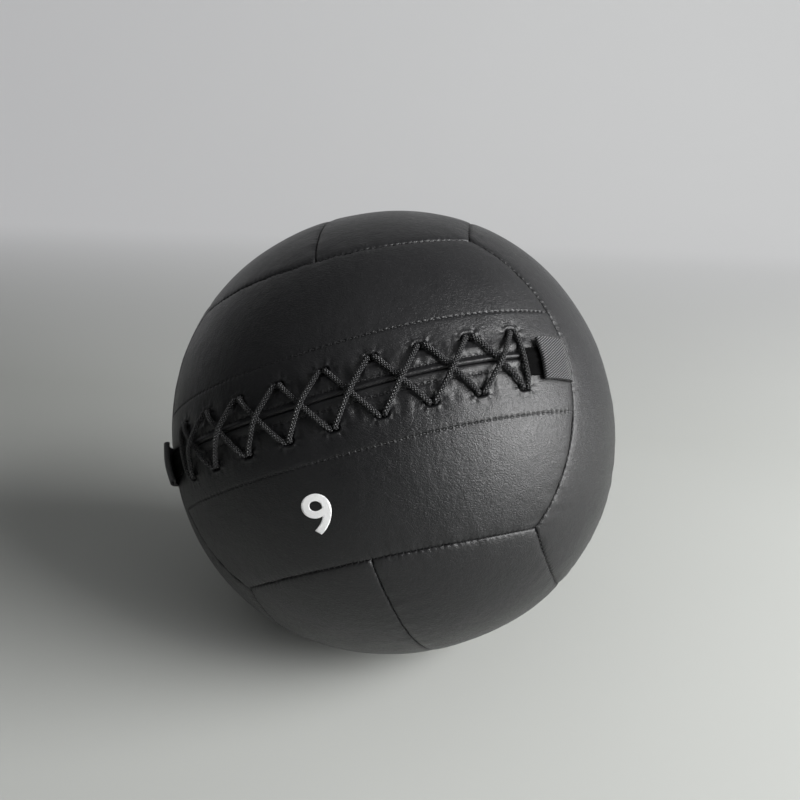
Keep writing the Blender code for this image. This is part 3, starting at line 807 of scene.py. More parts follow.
def woven_finish(name, dark, light, thread, roughness, shine=0.5):
    """A plain weave with uneven threads, darker where each thread dips under the next, as painted shade."""
    cloth = Finish(name, Specular_IOR_Level=shine)
    length, across = cloth.sewing()
    over, under = ((way * (math.pi / thread)).sine() for way in (length, across))
    weave = over * under * 0.5 + 0.5
    slubs = cloth.noise(0.004, 3.0)
    # The colour follows the weave's relief: painted shade where the threads dip under; the slubs give the
    # threads' own uneven tone
    colour = cloth.blend(dark, light, (weave * 0.6 + slubs * 0.5).held())
    woven = cloth.bump(weave + slubs, 0.3 * thread)
    return cloth.show(Base_Color=colour, Roughness=roughness + slubs * 0.1, Normal=woven)


def print_finish(name, looks):
    """Plain white print, thinned a little where the leather's grain stands up."""
    ink = Finish(name)
    pebbles = (ink.cells(looks.grain_size, "DISTANCE_TO_EDGE", ink.stirred(0.0021, 0.0008)) * 3.2).held()
    worn = (ink.noise(0.0014, 4.0) * 3.0 - 1.95).held() * (1.3 - pebbles).held()
    colour = ink.blend(tuple(looks.print_colour), (0.12, 0.12, 0.12), worn)
    return ink.show(Base_Color=colour, Roughness=0.5 + worn * 0.2, Normal=ink.bump(pebbles, 0.00007))


def filling_finish(name):
    """Shredded textile fibre in greys, with a few coloured scraps."""
    stuffing = Finish(name)
    scraps = stuffing.cells(0.009, "F1", stuffing.stirred(0.006, 0.006))
    fibres = stuffing.noise(0.0012, 6.0)
    tone = stuffing.noise(0.02, 5.0)
    grey = stuffing.blend((0.08, 0.08, 0.09), (0.42, 0.41, 0.4), (tone * 1.6 - 0.3).held())
    colour = stuffing.blend(grey, (0.1, 0.16, 0.3), (fibres * scraps).held())
    shreds = stuffing.bump(fibres + scraps, 0.002)
    return stuffing.show(Base_Color=colour, Roughness=0.9 + fibres * 0.1, Normal=shreds)


def grit_finish(name):
    """Steel grit: small bright grains, with painted shade in the gaps between them."""
    steel = Finish(name)
    grains = (steel.cells(0.0016, "DISTANCE_TO_EDGE") * 4.0).held()
    tone = steel.noise(0.003, 3.0)
    # Painted shade: the colour darkens in the gaps between grains; the grains' tone varies at random
    colour = steel.blend((0.04, 0.04, 0.045), (0.45, 0.45, 0.46), grains * tone)
    rough, heaped = 0.6 - grains * 0.2, steel.bump(grains, 0.0006)
    return steel.show(Base_Color=colour, Metallic=grains * 0.9, Roughness=rough, Normal=heaped)


def cord_finish(name):
    """Pale twisted cord, with painted shade in the grooves between its plies."""
    cord = Finish(name)
    length, around = cord.sewing()
    plies = (length / 0.0028 + around / 0.0021).wave()
    fluff = cord.noise(0.0005, 3.0)
    # Painted shade: darker in the grooves between the plies; the fluff's uneven tone is the cord's own
    colour = cord.blend((0.34, 0.31, 0.25), (0.72, 0.69, 0.6), (plies * 0.7 + fluff * 0.4).held())
    twisted = cord.bump(plies + fluff * 0.2, 0.0004)
    return cord.show(Base_Color=colour, Roughness=0.8 + fluff * 0.15, Normal=twisted)


def floor_finish(floor_colour, backdrop_colour):
    """A pale floor with a faint mottle. Its far end shows the backdrop's colour, and lights nothing."""
    plain = Finish("Pale floor", Emission_Strength=1.0)
    mottle = plain.noise(0.35, 4.0)
    away = plain.node("SeparateXYZ", values={0: plain.place()}, output=1)
    backdrop = ((away - 0.5) / 1.6).held()
    rays = [plain.node("LightPath", output=f"Is {ray} Ray") for ray in ("Camera", "Glossy", "Transmission")]
    seen = (rays[0] + rays[1] + rays[2]).held() * backdrop
    dark, light = (tuple(share * part for part in floor_colour) for share in (0.96, 1.0))
    shade = plain.blend(dark, light, mottle)
    return plain.show(
        Base_Color=plain.blend(shade, (0.0, 0.0, 0.0), backdrop * 0.4),
        Roughness=0.75 + mottle * 0.15,
        Emission_Color=plain.blend((0.0, 0.0, 0.0), backdrop_colour, seen),
    )


def shared_finish(name, make, *details):
    """The finish of this name, made when the first piece asks for it."""
    return bpy.data.materials.get(name) or make(name, *details)


def turn_rim_in(bm, panel, outline):
    """Turns a panel's outer edges inwards, as its seam allowance and the slit's hem."""
    edges = [edge for edge in bm.edges if edge.is_boundary and outline.issuperset(edge.verts)]
    made = bmesh.ops.extrude_edge_only(bm, edges=edges)["geom"]
    verts = [part for part in made if isinstance(part, bmesh.types.BMVert)]
    direction = unit(np.array([vert.co[:] for vert in verts]))
    turn = np.full(len(verts), SEAM_TURN)
    if panel.face == "front":
        at_slit = np.abs(front_place(direction)[1]) < 0.001
        turn[at_slit] = HEM_TURN
    for vert, point in zip(verts, over_skin(direction, -turn)):
        vert.co = point


def rim_of(doomed):
    """The vertices round the faces that are to be cut away."""
    inside = set(doomed)
    rim = {vert for face in doomed for vert in face.verts if not inside.issuperset(vert.link_faces)}
    return sorted(rim, key=lambda vert: vert.index)


def cut_holes(bm, side, run, across, looks, lift=0.0):
    """Cuts the lace holes through a grid and rounds their edges."""
    bm.verts.index_update()
    doomed = []
    for face in bm.faces:
        corners = [vert.index for vert in face.verts]
        if hole_distance(run[corners].mean(), across[corners].mean())[0] < LEATHER_HOLE:
            doomed.append(face)
    rim = rim_of(doomed)
    at = [vert.index for vert in rim]
    number, beside = nearest_hole(run[at])
    held = np.clip(beside, -HALF_PAIR, HALF_PAIR)
    away = np.stack([beside - held, across[at] - HOLE_ROW], axis=1)
    away = away * (LEATHER_HOLE / np.linalg.norm(away, axis=1))[:, None]
    middle = HOLE_REACH - number * HOLE_PITCH + held
    edge = PANELS[int(side > 0)].beside_slit(middle + away[:, 0], HOLE_ROW + away[:, 1], looks, lift)
    for vert, point in zip(rim, edge):
        vert.co = point
    bmesh.ops.delete(bm, geom=doomed, context="FACES")


def sewn_panel(panel, looks, finish):
    """One leather panel, with its sewing's relief, its turned edges and its wall."""
    front = panel.face == "front"
    half = half_length(0.0)[0]
    columns = between_seams(2 * half, FRONT_STEP if front else PLAIN_STEP)
    rows = between_seams(FACE_SIDE, ROW_STEP)
    if front:
        seam_start = FACE_SIDE - SEAM_STEPS[-1]
        start, end = (STITCH_ROWS[panel.side] + beside for beside in SEWN_ROWS)
        slit_side = paced(*SLIT_ROWS, (start, LIP_STEP), (end, STITCH_STEP), (seam_start, PLAIN_STEP))
        rows = np.concatenate([slit_side, rows[rows > seam_start + 1e-6]])
    bm, column, row = grid(columns, rows)
    across, along = rows[row], columns[column] / half - 1
    place(bm, panel.surface(across, along, looks))
    outline = {
        vert
        for vert, at, level in zip(bm.verts, column, row)
        if at in (0, len(columns) - 1) or level in (0, len(rows) - 1)
    }
    if front:
        run, beside = front_place(panel.direction(across, along))
        cut_holes(bm, panel.side, run, np.abs(beside), looks)
    turn_rim_in(bm, panel, outline)
    face_outwards(bm)
    name = f"{panel.face}_{panel.half}"
    made = finished_piece(f"{name}_leather", bm, finish, [f"{name}_panel"], LEATHER_WALL)
    return made


def facing_strip(side, looks, finish):
    """A nylon strip behind one lip, holed as the leather is and sewn on by the topstitch."""
    half = "upper" if side > 0 else "lower"
    panel = PANELS[int(side > 0)]
    reach = SLIT_END - SEAM_TURN
    columns = paced((2 * reach, FACING_STEPS[0]))
    rows = FACING_START + paced((FACING_END - FACING_START, FACING_STEPS[1]))
    bm, column, row = grid(columns, rows)
    across, run = rows[row], columns[column] - reach
    lift = -LEATHER_WALL - FACET_GAP
    place(bm, panel.beside_slit(run, across, looks, lift))
    cut_holes(bm, side, run, across, looks, lift)
    face_outwards(bm)
    made = finished_piece(f"{half}_nylon_facing", bm, finish, [f"{half}_facing"], STRIP_WALL)
    return made


def seam_places(looks):
    """The middle of each seam stitch, and the way across the seam there."""
    middles, ways = [], []
    for panel in PANELS:
        levels = [FACE_SIDE] if panel.face == "front" or panel.side < 0 else [0.0, FACE_SIDE]
        for level in levels:
            half = half_length(level)[0]
            count = int((half - SEAM_MARGIN) / looks.stitch_pitch)
            along = looks.stitch_pitch * np.arange(-count, count + 1) / half
            here = panel.direction(np.full(len(along), level), along, 0.0)
            inner = panel.direction(np.full(len(along), abs(level - BESIDE_SEAM)), along, 0.0)
            middles.append(here)
            ways.append(unit(here - inner))
    return np.vstack(middles), np.vstack(ways)


def seam_thread(looks, finish):
    """Short stitches that show at the bottom of every outer seam."""
    direction, way = seam_places(looks)
    depth = VALLEY_DEPTH + 0.5 * SEAM_ROLL
    middle = pressed(over_skin(direction, -depth), depth)
    reach = SEAM_STITCH / 2 * way
    bm = stitched(middle - reach, middle + reach, direction, SEAM_THREAD_SHARE * looks.thread_thickness)
    return finished_piece("seam_thread", bm, finish)


def slit_thread(name, rows, thickness, looks, finish):
    """Lines of stitches beside the slit, at the given lengths above (1) and below it (-1)."""
    starts, ends, ups = [], [], []
    count = int((SLIT_END - SEAM_TURN) / looks.stitch_pitch)
    run = looks.stitch_pitch * np.arange(-count, count + 1)
    for side, row in rows.items():
        level = np.full(len(run), row)
        panel = PANELS[int(side > 0)]
        starts.append(panel.beside_slit(run - STITCH_LENGTH / 2, level, looks))
        ends.append(panel.beside_slit(run + STITCH_LENGTH / 2, level, looks))
        ups.append(unit(starts[-1]))
    bm = stitched(np.vstack(starts), np.vstack(ends), np.vstack(ups), thickness)
    return finished_piece(name, bm, finish)


def slerp(start, end, share):
    """The direction at this share of the way between two directions."""
    angle = math.acos(float(start @ end))
    return (math.sin((1 - share) * angle) * start + math.sin(share * angle) * end) / math.sin(angle)


def spherical_run(start, end, places):
    """Points between two directions: each place is a share of the way and a height over the leather."""
    ways = [slerp(start, end, share) for share, _ in places]
    return [over_skin(way, height) for way, (_, height) in zip(ways, places)]


def hole_place(pair, side, half):
    """The direction of the left (-1) or right (1) strand in a lace hole. Pair 0 is rightmost."""
    return front_direction(HOLE_REACH - HOLE_PITCH * pair + half * HALF_PAIR, side * HOLE_ROW)


def rounded_run(start, end, level, height, middle):
    """A run from one hole to the next, bent round the edge of each hole at the given level."""
    length = math.acos(float(start @ end)) * FACE_RADIUS
    outward = math.copysign(1, height)
    knee = HOLE_RADIUS * (1 - math.sqrt(0.5))
    bends = (knee, HOLE_RADIUS - knee), (HOLE_RADIUS, HOLE_RADIUS)
    near = [(run / length, level + outward * rise) for run, rise in bends]
    far = [(1 - share, rise) for share, rise in reversed(near)]
    return spherical_run(start, end, near + middle + far)


def lace_points():
    """The lace's whole route. Every outer strand runs from an upper hole to a lower one, and each
    inner bar leads straight up to the next. The first pass goes right, the second comes back over it.
    """
    last = LACE_PAIRS - 1
    visits = [last, *range(last, -1, -1), *range(LACE_PAIRS)]
    over = HOLE_RADIUS - LACE_SETTLE
    crest = LACE_RADIUS + LIP_TOP
    points = []
    for step, (start_pair, end_pair) in enumerate(zip(visits, visits[1:])):
        leans_right = end_pair < start_pair or start_pair == end_pair == 0
        upper = hole_place(start_pair, 1, 1 if leans_right else -1)
        arrives_left = end_pair < start_pair or start_pair == end_pair == last
        lower = hole_place(end_pair, -1, -1 if arrives_left else 1)
        middle = [(share, crest) for share in CREST_SHARES]
        if step > last + 1:
            climb = crest + 2 * LACE_RADIUS - over
            middle = [(share, over + climb * rise) for share, rise in LACE_TENT]
        outer = rounded_run(upper, lower, -LACE_SETTLE, over, middle)
        points += [over_skin(upper, -WALL_STACK / 2), *outer, over_skin(lower, -WALL_STACK / 2)]
        if step == len(visits) - 2:
            break
        next_upper = hole_place(end_pair, 1, -1 if step >= last + 1 else 1)
        depth = DEEP_BAR_DEPTH if step > last else INNER_BAR_DEPTH
        dip = LACE_GAP if step > last else 0.0
        middle = [(share, dip * (1 - rise) - depth) for share, rise in ((0.1, 0), (0.5, 1), (0.9, 0))]
        points += rounded_run(lower, next_upper, -WALL_STACK - BAR_SINK, -depth, middle)
    return points


def knot_points(side, half):
    """The places and thicknesses of a stopper knot behind a hole of the leftmost pair, from its hole on."""
    start = hole_place(LACE_PAIRS - 1, side, half)
    away = unit(half * (front_direction(LACE_TAIL, 0.0) - front_direction(0.0, 0.0))) * LACE_TAIL
    depth = WALL_STACK + FACET_GAP + LACE_RADIUS * KNOT_GROWTH
    steps = [(0.0, WALL_STACK + LACE_RADIUS, 1.0)]
    steps += [(share, depth, KNOT_GROWTH if share in (0.3, 0.5) else 1.0) for share in (0.3, 0.5, 0.7, 1.0)]
    found = []
    for share, deep, growth in steps:
        radial = unit(over_skin(start, -deep) + away * share)
        found.append((over_skin(radial, -deep), growth))
    return found


def threaded_lace(looks, finish):
    """One braided lace through all eighteen holes, with a knot at each end."""
    placed = knot_points(1, -1)[::-1] + [(point, 1.0) for point in lace_points()] + knot_points(-1, 1)
    points = np.array([point for point, _ in placed])
    chords = lengths_along(points)
    route, lengths = flowing(points, LACE_STEP)
    growth = np.interp(lengths * chords[-1] / lengths[-1], chords, [growth for _, growth in placed])
    reach = LACE_STRANDS * math.pi

    def braided(length, share):
        rising = np.sin(length * math.pi / looks.braid_pitch + reach * share)
        falling = np.sin(length * math.pi / looks.braid_pitch - reach * share)
        return BRAID_RISE * (np.sqrt(np.abs(rising * falling)) - 0.6)

    bm = tube(route, lengths, LACE_RADIUS * growth, 18, braided)
    return finished_piece("braided_lace", bm, finish, ["lace"])


def end_tape(end, side, looks, finish):
    """A flat tape over one end of the slit, soft at its edges, from the last bar of lace to the seam."""
    inner = HOLE_REACH + HALF_PAIR + HOLE_RADIUS + TOUCH_GAP
    columns = inner + paced((SLIT_END - inner, TAPE_STEPS[0]))
    rows = paced((TAPE_WIDTH, TAPE_STEPS[1])) - TAPE_WIDTH / 2
    bm, column, row = grid(columns, rows)
    along, across = columns[column], rows[row]
    wander = TAPE_WANDER * crinkles(along, across / 3, TAPE_CRINKLE, 20.0 + side)
    drawn = np.exp(-(SLIT_END - along) / TAPE_DRAW_REACH)
    height = TAPE_HEIGHT + ridge(across, *TAPE_CROWN) + 0.5 * wander - TAPE_DRAW * drawn
    level = across - TAPE_SINK
    direction = front_direction(side * along, level + 0.3 * wander)
    under = np.maximum(slit_relief(1, side * along, np.abs(level), looks), 0) + looks.lump_depth
    height = np.maximum(height, under * (1 - drawn) + TAPE_HEIGHT)
    height -= rounded(TAPE_WIDTH / 2 - np.abs(across), TAPE_EDGE)
    place(bm, over_skin(direction, height))
    face_outwards(bm)
    made = finished_piece(f"{end}_slit_tape", bm, finish, [f"{end}_end_tape"], STRIP_WALL)
    float(columns[-1] - inner)
    return made


def loop_section(reach):
    """The webbing's middle line: lengths in from the end seam, and heights over the tape."""
    half = WEBBING / 2
    fold = (0.3 * LOOP_GAP + WEBBING) / 2
    low = TOUCH_GAP + half
    straight = reach - half - fold
    turns = math.pi * np.arange(1, 12) / 12
    section = [(share * straight, low) for share in (0.0, 0.35, 0.7, 1.0)]
    section += [(straight + fold * math.sin(turn), low + fold * (1 - math.cos(turn))) for turn in turns]
    closed = low + WEBBING + TOUCH_GAP
    top = low + 2 * fold
    section += [(straight, top), (0.6 * straight, top)]
    section += [(0.25 * straight, (top + closed) / 2), (0.0, closed)]
    return np.array([(length, height, 0.0) for length, height in section])


def webbing_loop(end, side, looks, finish):
    """Webbing folded back on itself, with both ends sewn into the end seam."""
    reach = LOOP_REACHES[end]
    section, lengths = flowing(loop_section(reach), WEBBING_STEPS[0])
    rows = paced((WEBBING_WIDTH, WEBBING_STEPS[1])) - WEBBING_WIDTH / 2
    bm, column, row = grid(-side * lengths, rows)
    length, height = section[column][:, 0], section[column][:, 1]
    across = rows[row]
    seat = UPPER_LIP_RISE + 2 * TOUCH_GAP + TAPE
    droop = seat * (0.4 + ridge(across, *LOOP_CROWN)) * eased((length + LOOP_SEAT_START) / LOOP_SEAT_REACH)
    sewn = LOOP_SEWN_DEPTH * np.exp(-np.maximum(length, 0) / LOOP_SEWN_REACH)
    slant = (across - side * TWILL_SLANT * lengths[column]) / looks.rib_pitch
    ribs = RIB_RISE * np.cos(2 * math.pi * slant)
    lift = LOOP_LIFTS[end] * eased(length / reach)
    level = across - LOOP_SINK - LOOP_SLANT * (1 - length / reach)
    direction = front_direction(side * (SLIT_END - length), level)
    points = over_skin(direction, height + droop + lift - sewn + ribs)
    place(bm, points)
    bmesh.ops.recalc_face_normals(bm, faces=bm.faces)
    made = finished_piece(f"{end}_webbing", bm, finish, [f"{end}_webbing_loop"], WEBBING, 0.0)
    return made


def printed_numeral(looks, finish):
    """The weight in kilograms, printed on the lower front panel."""
    curve = bpy.data.curves.new("Numeral", "FONT")
    curve.body = looks.weight_mark
    curve.offset = MARK_STROKE
    outline = bpy.data.objects.new("Numeral outline", curve)
    bpy.context.scene.collection.objects.link(outline)
    mesh = bpy.data.meshes.new_from_object(outline.evaluated_get(bpy.context.evaluated_depsgraph_get()))
    bm = bmesh.new()
    bm.from_mesh(mesh)
    bpy.data.objects.remove(outline)
    bpy.data.curves.remove(curve)
    bpy.data.meshes.remove(mesh)
    bmesh.ops.remove_doubles(bm, verts=bm.verts, dist=1e-4)
    bmesh.ops.dissolve_degenerate(bm, edges=bm.edges, dist=1e-4)
    bm.normal_update()
    bmesh.ops.reverse_faces(bm, faces=[face for face in bm.faces if face.normal.z < 0])
    flat = places_of(bm)
    low, high = flat.min(axis=0), flat.max(axis=0)
    size = np.array([looks.mark_width, looks.mark_height, 1.0])
    place(bm, (flat - (low + high) / 2) / np.maximum(high - low, 1e-6) * size)
    for axis, reach in ((X, looks.mark_width / 2), (Y, looks.mark_height / 2)):
        for level in np.arange(-reach, reach, MARK_STEP)[1:]:
            whole = [*bm.verts, *bm.edges, *bm.faces]
            bmesh.ops.bisect_plane(bm, geom=whole, plane_co=axis * level, plane_no=axis)
    flat = places_of(bm)
    lift = math.radians(MARK_ELEVATION)
    along = FACE_RADIUS * math.radians(MARK_AZIMUTH) + flat[:, 0] / math.cos(lift)
    across = -FACE_RADIUS * lift - flat[:, 1]
    place(bm, PANELS[0].beside_slit(along, across, looks, MARK_LIFT))
    bm.normal_update()
    return finished_piece("weight_numeral", bm, finish, (), MARK_WALL)


def bag_depth(direction):
    """The bag's depth under the leather: deeper behind the slit, where the lace's bars press it in."""
    across = np.abs(direction[:, 2] * FACE_RADIUS - slit_rise(direction))
    along = np.arctan2(np.abs(direction[:, 0]), -direction[:, 1]) * FACE_RADIUS
    band = HOLE_ROW + HOLE_RADIUS + LACE_RADIUS
    wide = 1 - eased((across - band) / (2 * band))
    far = 1 - eased((along - SLIT_END + LACE_END_MARGIN / 2) / LACE_END_MARGIN)
    return BAG_DEPTH + (BAG_DENT_DEPTH - BAG_DEPTH) * wide * far * (direction[:, 1] <= 0)


def inside_bag(direction, shrink, relief):
    """Points on the bag's form, this much smaller, with a relief that only goes inwards."""
    points = over_skin(direction, -(bag_depth(direction) + shrink + relief))
    return pressed(points, BAG_DEPTH + shrink)


def cotton_bag(finish):
    """The inner bag, a little creased, with its mouth behind the slit."""
    turns, lifts = (math.pi * np.arange(count + 1) / 100 for count in (200, 100))
    bm, column, row = grid(FACE_RADIUS * turns, FACE_RADIUS * lifts)
    turn, lift = turns[column], lifts[row] - math.pi / 2
    direction = turned(lift, turned(turn, X, Y), Z)
    wide, narrow = (np.abs(seeded(direction * FACE_RADIUS, *fold)) for fold in BAG_FOLDS)
    place(bm, inside_bag(direction, 0.0, BAG_CREASE * (wide + 0.5 * narrow)))
    bmesh.ops.remove_doubles(bm, verts=bm.verts, dist=1e-6)

    def across_mouth(at):
        """1 on the mouth's edge, and less inside it."""
        return 2 * math.hypot(at.x / BAG_MOUTH_LENGTH, at.z / BAG_MOUTH_WIDTH)

    middles = [(face, face.calc_center_median()) for face in bm.faces]
    doomed = [face for face, middle in middles if middle.y < 0 and across_mouth(middle) < 1]
    for vert in rim_of(doomed):
        share = across_mouth(vert.co)
        vert.co.x /= share
        vert.co.z /= share
    bmesh.ops.delete(bm, geom=doomed, context="FACES")
    face_outwards(bm)
    made = finished_piece("cotton_inner_bag", bm, finish, ["inner_bag"], BAG)
    return made


def arc(radius, start, end, count):
    """Places on a circle, as a radius and a length towards the front, between angles from the front."""
    return [(radius * math.sin(turn), radius * math.cos(turn)) for turn in np.linspace(start, end, count)]


def lined(start, end, count):
    """Evenly spaced places from the first one, which is left out, to the last."""
    return [tuple(spot) for spot in np.linspace(start, end, count)[1:]]


def sack_section(grow):
    """The sack's outline, as a radius and a length towards the front, from its base to its neck's rim."""
    radius, neck = SACK_RADIUS + grow, SACK_NECK_RADIUS + grow
    outline = arc(radius, math.pi, math.asin(neck / radius), 60)
    outline[0] = (0.0, -radius)
    return outline + lined(outline[-1], (neck, SACK_TOP), 14)


def spun(outline, around, relief):
    """An outline of (radius, length towards the front) turned round the line from back to front."""
    outline = np.array(outline)
    turns = 2 * math.pi * np.arange(around + 1) / around
    bm, step, spoke = grid(lengths_along(outline), SACK_RADIUS * turns)
    turn = turns[spoke]
    radius, ahead = outline[step].T
    place(bm, relief(np.stack([radius * np.cos(turn), -ahead, radius * np.sin(turn)], axis=1), turn))
    bmesh.ops.remove_doubles(bm, verts=bm.verts, dist=1e-6)
    bmesh.ops.recalc_face_normals(bm, faces=bm.faces)
    return bm


def packed_filling(name, ahead, finish):
    """One packing of textile fibre, in front of the core (1) or behind it (-1)."""
    rim = FACE_RADIUS - BAG_DEPTH - BAG
    pocket = SACK_RADIUS + FACET_GAP
    neck = SACK_NECK_RADIUS + TIE_DIAMETER + TOUCH_GAP + FACET_GAP
    top = SACK_TOP + FACET_GAP
    last = math.asin(neck / pocket) if ahead > 0 else 0.0
    outline = arc(rim, 0.0, math.pi / 2, 60)[:-1] + [(rim, TOUCH_GAP / 2)]
    outline += lined((rim, TOUCH_GAP / 2), (pocket, TOUCH_GAP / 2), 26)
    outline += arc(pocket, math.pi / 2, last, 30)[1:]
    if ahead > 0:
        outline += lined(outline[-1], (neck, top), 8) + [(neck * share, top) for share in (0.6, 0.3, 0.0)]
    outline = np.array(outline) * (1, ahead)

    def packed(points, turn):
        outside = np.linalg.norm(points, axis=1) > rim * 0.999
        lumps = 0.5 + 0.5 * seeded(points, 0.018, 41.0) + 0.3 * np.abs(seeded(points, 0.006, 43.0))
        way = unit(points[outside])
        points[outside] = inside_bag(way, BAG + FACET_GAP, FILLING_LUMP * lumps[outside])
        points[outside, 1] = -ahead * np.maximum(-ahead * points[outside, 1], TOUCH_GAP / 2)
        return points

    bm = spun(outline, 160, packed)
    made = finished_piece(f"{name}_textile", bm, finish, [f"{name}_filling"])
    return made


def canvas_sack(finish):
    """The weight's sack: full below, gathered into its neck."""

    def gathered(points, turn):
        near = np.clip((-points[:, 1] - GATHER_START) / GATHER_LENGTH, 0, 1)
        pleats = eased(near) * (0.5 + 0.5 * np.cos(SACK_PLEATS * turn + 0.6 * np.sin(3 * turn)))
        creases = SACK_CREASE * np.abs(seeded(points, 0.012, 51.0)) * (1 - near)
        return points - unit(points * [1, 0, 1] + 1e-12) * (PLEAT_DEPTH * pleats + creases)[:, None]

    bm = spun(sack_section(0.0), 136, gathered)
    face_outwards(bm)
    return finished_piece("canvas_weight_sack", bm, finish, ["weight_sack"], SACK)


def steel_grit(finish):
    """The grit that fills the sack, up to its neck."""
    outline = [spot for spot in sack_section(-SACK - GRIT_SLACK) if spot[1] < SACK_TOP - SACK_NECK_LENGTH]
    outline += lined(outline[-1], (0.0, outline[-1][1]), 5)

    def grained(points, turn):
        return points * (1 - GRAIN_SHARE * np.abs(seeded(points, 0.003, 61.0)))[:, None]

    bm = spun(outline, 160, grained)
    return finished_piece("sack_steel_grit", bm, finish, ["weight_grit"])


def neck_tie(finish):
    """Cord wound twice round the sack's neck and knotted."""
    radius = TIE_DIAMETER / 4
    middle = SACK_TOP - SACK_NECK_LENGTH / 2
    ring = SACK_NECK_RADIUS + TOUCH_GAP + radius
    turns = np.linspace(0, 4 * math.pi, 150)
    rise = middle - radius + 2 * radius * turns / (4 * math.pi)
    wound = np.stack([ring * np.cos(turns), -rise, ring * np.sin(turns)], axis=1)
    wound[[0, -1], 0] += TIE_END_LIFT
    spins = np.linspace(0, 3 * math.pi, 60)
    loops = np.stack([np.cos(spins), np.sin(spins), spins / (1.5 * math.pi) - 1], axis=1)
    knot = [ring + TIE_KNOT_OUT, -middle, 0.0] + TIE_KNOT * loops
    bm = tube(*flowing(wound, TIE_STEPS[0]), 0.97 * radius, 12)
    knotted = tube(*flowing(knot, TIE_STEPS[1]), 0.75 * radius, 10)
    finished_piece("tie_knot", knotted, finish)
    return finished_piece("wound_neck_tie", bm, finish, ["sack_tie"])


def measure(name, description, default, kind="LENGTH"):
    """A length, or another measure of this kind, that the panel shows."""
    return FloatProperty(name=name, description=description, default=default, unit=kind)


def tint(name, description, default):
    """A colour that the panel shows."""
    return FloatVectorProperty(name=name, description=description, default=default, subtype="COLOR")


class WallBallLooks(bpy.types.PropertyGroup):
    """Sizes and colours of the ball's sewing, leather, lace, webbing and print."""

    stitch_pitch: measure("Stitch pitch", "Length of one stitch and its gap", 0.00419)
    thread_thickness: measure("Thread", "Thickness of the topstitching thread", 0.0009)
    pinch_depth: measure("Pinch", "How deep each seam stitch pinches the leather", 0.001)
    pucker_depth: measure("Puckers", "Depth of the puckers beside the seams", 0.0006)
    lump_depth: measure("Lumps", "Depth of the filling's lumps in the leather", 0.0004)
    lace_bulge: measure("Bulge", "Height of the leather between the lace's strands", 0.001)
    grain_size: measure("Grain", "Width of one pebble of the leather's grain", 0.001)
    leather_colour: tint("Leather", "Colour of the leather", (0.006, 0.006, 0.0066))
    leather_roughness: FloatProperty(
        name="Roughness", description="Roughness of the leather", default=0.34, subtype="FACTOR"
    )
    braid_pitch: measure("Braid pitch", "Length of one strand's step in the lace", 0.0022)
    lace_colour: tint("Lace", "Colour of the lace", (0.03, 0.03, 0.032))
    rib_pitch: measure("Rib pitch", "Width of one twill rib of the webbing", 0.0015)
    webbing_colour: tint("Webbing", "Colour of the webbing", (0.11, 0.11, 0.115))
    print_colour: tint("Print", "Colour of the printed numeral", (0.92, 0.92, 0.92))
    weight_mark: StringProperty(name="Weight", description="The printed weight in kilograms", default="9")
    mark_width: measure("Numeral width", "Width of the printed numeral", 0.0195)
    mark_height: measure("Numeral height", "Height of the printed numeral", 0.0271)


class WallBallStage(bpy.types.PropertyGroup):
    """Floor, lamps and camera."""

    floor_colour: tint("Floor", "Colour of the floor", (0.46, 0.47, 0.45))
    backdrop_colour: tint("Backdrop", "Colour of the backdrop", (0.38, 0.38, 0.39))
    key_power: measure("Main lamp", "Power of the large lamp on the right", 150.0, "POWER")
    fill_power: measure("Fill lamp", "Power of the weaker lamp overhead", 11.0, "POWER")
    sky_strength: FloatProperty(name="Sky", description="Strength of the even light all round", default=0.1)
    lens: measure("Lens", "Focal length of the camera", 37.59, "CAMERA")


class SewPanels(bpy.types.Operator):
    """Sew the twelve leather panels"""

    bl_idname = "wall_ball.sew_panels"
    bl_label = "Sew panels"

    def execute(self, context):
        looks = context.scene.wall_ball
        finish = shared_finish("Black leatherette", leather_finish, looks)
        for panel in PANELS:
            sewn_panel(panel, looks, finish)
        return {"FINISHED"}


class StitchSeams(bpy.types.Operator):
    """Stitch the seams, the topstitching and the slit's hems"""

    bl_idname = "wall_ball.stitch_seams"
    bl_label = "Stitch seams"

    def execute(self, context):
        looks = context.scene.wall_ball
        finish = shared_finish("Black sewing thread", thread_finish)
        seam_thread(looks, finish)
        thick = looks.thread_thickness
        slit_thread("topstitch_thread", STITCH_ROWS, thick, looks, finish)
        slit_thread("hem_thread", HEM_ROWS, 0.9 * thick, looks, finish)
        return {"FINISHED"}


class ThreadLace(bpy.types.Operator):
    """Thread the braided lace through its holes"""

    bl_idname = "wall_ball.thread_lace"
    bl_label = "Thread lace"

    def execute(self, context):
        looks = context.scene.wall_ball
        threaded_lace(looks, shared_finish("Black braided lace", braid_finish, looks))
        return {"FINISHED"}


class FitEndTapes(bpy.types.Operator):
    """Lay a tape over each end of the slit"""

    bl_idname = "wall_ball.fit_end_tapes"
    bl_label = "Fit end tapes"

    def execute(self, context):
        looks = context.scene.wall_ball
        weave = (0.0008, 0.0008, 0.0008), (0.003, 0.003, 0.0032), 0.0007, 0.9, 0.05
        finish = shared_finish("Black tape", woven_finish, *weave)
        for end, side in ENDS.items():
            end_tape(end, side, looks, finish)
        return {"FINISHED"}


class FoldWebbingLoops(bpy.types.Operator):
    """Fold the webbing loop at each end of the slit"""

    bl_idname = "wall_ball.fold_webbing_loops"
    bl_label = "Fold webbing loops"

    def execute(self, context):
        looks = context.scene.wall_ball
        finish = shared_finish("Black webbing", webbing_finish, looks)
        for end, side in ENDS.items():
            webbing_loop(end, side, looks, finish)
        return {"FINISHED"}


